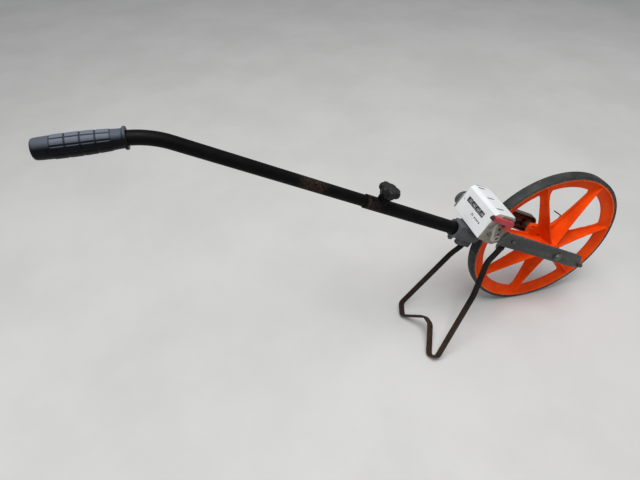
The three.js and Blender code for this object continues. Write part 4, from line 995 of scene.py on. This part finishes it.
# The pale bluish colour mixed in on the grip's upper side is dust and a painted sheen from above.
grip_rubber = finish(
    "grip rubber", (0.0042, 0.0045, 0.0062), (0.0068, 0.0073, 0.0100), patch=80, roughness=0.36, grain=2600,
    relief=0.25, edge=(0.020, 0.021, 0.026), spots=(0.012, 0.012, 0.015), spot_size=400, spot_share=0.64,
    worn=(0.122, 0.140, 0.180), worn_from=0.28, specular=0.07,
)
coat.inputs["Material"].default_value = grip_rubber
plain_places = [corner.co.copy() for corner in grip_mesh.vertices]
grip_body = bench(grip_mesh)
padding = grip_body.modifiers.new("pads", "NODES")
padding.node_group = pad_tree
for item in pad_tree.interface.items_tree:
    if item.in_out == "INPUT" and item.name in pad_values:
        padding[item.identifier] = pad_values[item.name]
grip_mesh = worked(grip_body)
# Dust has settled on the upper side, with a painted bluish sheen where light falls from above, on the pads more
# than in the grooves between them
pads_start = pad_values["Start"]
pads_end = pads_start + pad_values["Pads"] * pad_values["Pitch"]
groove_dust_and_sheen_share = 0.12
smooth_dust_and_sheen_share = 0.6
dust_and_sheen_shares = []
for plain, corner in zip(plain_places, grip_mesh.vertices):
    raised_share = (corner.co - plain).length / pad_values["Height"]
    held_share = groove_dust_and_sheen_share + (1 - groove_dust_and_sheen_share) * raised_share
    dust_and_sheen_shares.append(held_share if pads_start < plain.y < pads_end else smooth_dust_and_sheen_share)
grip_mesh.transform(grip_place)
dust_and_sheen = grip_mesh.attributes.new("worn", "FLOAT", "POINT")
dust_and_sheen.data.foreach_set("value", [share * max(0.0, min(0.9, (corner.normal.z - 0.40) / 0.55))
                                for share, corner in zip(dust_and_sheen_shares, grip_mesh.vertices)])
stand_in("grip", grip_mesh, grip_rubber, "grip_rubber", "handle", 50)

# The kickstand is one flat steel strip, bent to two legs, two feet and a notch between them.
# Its black paint has gone brown with rust, most of all low on the legs.
strip_wide = 0.0140
strip_thick = 0.0040
near_leg_y = -0.0480
far_leg_y = 0.0220
foot_reach = 0.1502
foot_twist = 0.132
twist_middle = 0.039
near_spread = 0.1218
far_spread = 0.0262
foot_long = 0.0248
foot_low = 1.009
notch_rise = 0.0405
notch_wide = 0.0197
notch_shift = 0.0486
bend_cut = 0.015
near_foot_long = 0.0165
pivot = fork @ Vector((-0.143455, 0, -0.019))
pivot_high = pivot.z - tyre_low.z
eye_bore = 0.0033
eye_ease = 0.0008


def stand_point(down_share, y, lifted=0.0):
    """A place on the strip and its broad direction, down a leg by a share of its length."""
    across = foot_reach + foot_twist * (y + twist_middle)
    long = math.hypot(across, pivot_high)
    down = Vector((-across / long, 0, -pivot_high / long))
    wide = Vector((pivot_high / long, 0, -across / long))
    sole = strip_thick / 2 * -down.z + strip_wide / 2 * -wide.z
    foot = (pivot_high - sole) / -down.z
    place = Vector((pivot.x, axle.y + y, pivot.z)) + down * (down_share * foot - lifted)
    return place, wide


leg_stops = [(0, near_leg_y, 0)]
leg_stops += [(down, near_leg_y + spread * (-near_spread - near_leg_y), 0)
              for down, spread in ((0.152, 0.02), (0.396, 0.444), (0.965, 1))]
leg_stops.append((foot_low, -near_spread + near_foot_long, 0))
leg_stops += [(1, -notch_shift - notch_wide / 2, notch_rise), (1, -notch_shift + notch_wide / 2, notch_rise)]
leg_stops.append((foot_low, far_spread - foot_long, 0))
leg_stops += [(down, far_leg_y + spread * (far_spread - far_leg_y), 0)
              for down, spread in ((0.95, 1), (0.34, 1), (0.24, 0))]
leg_stops.append((0, far_leg_y, 0))
stations = [stand_point(*stop) for stop in leg_stops]


def bent_stations(stops, cut, rounds):
    """Rounds each bend of the strip over a short length on both sides of it."""
    stations = [stops[0]]
    for (a, aw), (b, bw), (c, cw) in zip(stops, stops[1:], stops[2:]):
        before = min(0.5, cut / (a - b).length)
        after = min(0.5, cut / (c - b).length)
        stations.append((b.lerp(a, before), bw.lerp(aw, before)))
        stations += [(b, bw), (b.lerp(c, after), bw.lerp(cw, after))]
    stations.append(stops[-1])
    for _ in range(rounds):
        fresh = [stations[0]]
        for (a, aw), (b, bw) in zip(stations, stations[1:]):
            fresh += [(a.lerp(b, 0.25), aw.lerp(bw, 0.25)), (a.lerp(b, 0.75), aw.lerp(bw, 0.75))]
        stations = fresh[:1] + fresh[2:-1] + [stations[-1]]
    return stations


stations = bent_stations(stations, bend_cut, 3)
section = []
corner_ease = 0.0011
for sx, sy in ((1, 1), (-1, 1), (-1, -1), (1, -1)):
    for k in range(4):
        a = math.atan2(sy, sx) + math.radians(-45 + 30 * k)
        section.append((sx * (strip_wide / 2 - corner_ease) + corner_ease * math.cos(a),
                        sy * (strip_thick / 2 - corner_ease) + corner_ease * math.sin(a)))
strip_rings = []
for i, (point, wide) in enumerate(stations):
    along = (stations[min(i + 1, len(stations) - 1)][0] - stations[max(i - 1, 0)][0]).normalized()
    flat = along.cross(wide).normalized()
    broad = flat.cross(along).normalized()
    strip_rings.append([point + broad * w + flat * t for w, t in section])
eye_radius = strip_wide / 2
eye_half = strip_thick / 2
eye_profile = [
    (eye_bore, -eye_half), (eye_radius - eye_ease, -eye_half), (eye_radius, -eye_half + eye_ease),
    (eye_radius, eye_half - eye_ease), (eye_radius - eye_ease, eye_half), (eye_bore, eye_half),
]
eyes = [turned(eye_profile, 48, Matrix.Translation((pivot.x, axle.y + y, pivot.z)))
        for y in (near_leg_y, far_leg_y)]
rusty_paint = finish(
    "rusty paint", (0.0048, 0.0047, 0.0045), (0.0105, 0.0090, 0.0078), patch=30, roughness=0.55, grain=1400,
    relief=0.4, edge=(0.075, 0.050, 0.036), edge_from=0.54, spots=(0.045, 0.028, 0.019), spot_size=45,
    spot_share=0.60, worn=(0.062, 0.034, 0.021), specular=0.10,
)
rust_top = 0.13
rust_fade = 0.05
stand_mesh = marked(
    merged(loft(strip_rings), *eyes),
    lambda p: max(0.0, min(1.0, (rust_top - p.z) / rust_fade)) * (0.9 if p.y < axle.y else 0.6),
)
stand_in("kickstand", stand_mesh, rusty_paint, "rusty_paint", "stand", 50)

# Each leg turns on a short bolt through the base's lug, with a nut on its inside. They were
# painted with the strip.
for node in ("near_stand_bolt", "near_stand_nut", "far_stand_bolt", "far_stand_nut"):
    stand_in(node, eased(node, 0.0003), rusty_paint, "black_paint", "frame")

# A plain pale floor, one large soft lamp above, a weak fill and an even pale sky.
floor_mesh = bpy.data.meshes.new("floor")
floor_half = 12
floor_high = -0.0002
floor_corners = [(i * floor_half, k * floor_half, floor_high)
                 for i, k in ((-1, -1), (1, -1), (1, 1), (-1, 1))]
floor_mesh.from_pydata(floor_corners, [], [(0, 1, 2, 3)])
pale_floor = finish(
    "pale floor", (0.52, 0.515, 0.505), (0.56, 0.555, 0.545), patch=3, roughness=0.85, grain=300, relief=0.05,
)
floor_mesh.materials.append(pale_floor)
floor = bench(floor_mesh, "floor")

world = bpy.data.worlds.new("studio")
bpy.context.scene.world = world
world.use_nodes = True
world.node_tree.nodes["Background"].inputs["Color"].default_value = (0.95, 0.975, 1, 1)
world.node_tree.nodes["Background"].inputs["Strength"].default_value = 0.36


def lamp(name, place, aim, size, power):
    """A square soft lamp turned toward a point."""
    light = bpy.data.lights.new(name, "AREA")
    light.size = size
    light.energy = power
    body = bpy.data.objects.new(name, light)
    bpy.context.scene.collection.objects.link(body)
    body.location = place
    body.rotation_euler = (Vector(aim) - Vector(place)).to_track_quat("-Z", "Y").to_euler()


lamp("key", (-0.35, -0.45, 2.7), (0.1, 0, 0.15), 1.6, 75)
lamp("fill", (1.8, 0.6, 1.2), (0.1, 0, 0.2), 1.6, 3)

camera = bpy.data.cameras.new("camera")
camera.lens = 27.3375
camera.sensor_width = 36
camera_body = bpy.data.objects.new("camera", camera)
bpy.context.scene.collection.objects.link(camera_body)
camera_body.location = (-0.290145, -0.582731, 0.824021)
camera_body.rotation_euler = (math.radians(48.38), 0, math.radians(-14.91))
bpy.context.scene.camera = camera_body
bpy.context.scene.view_settings.view_transform = "Standard"
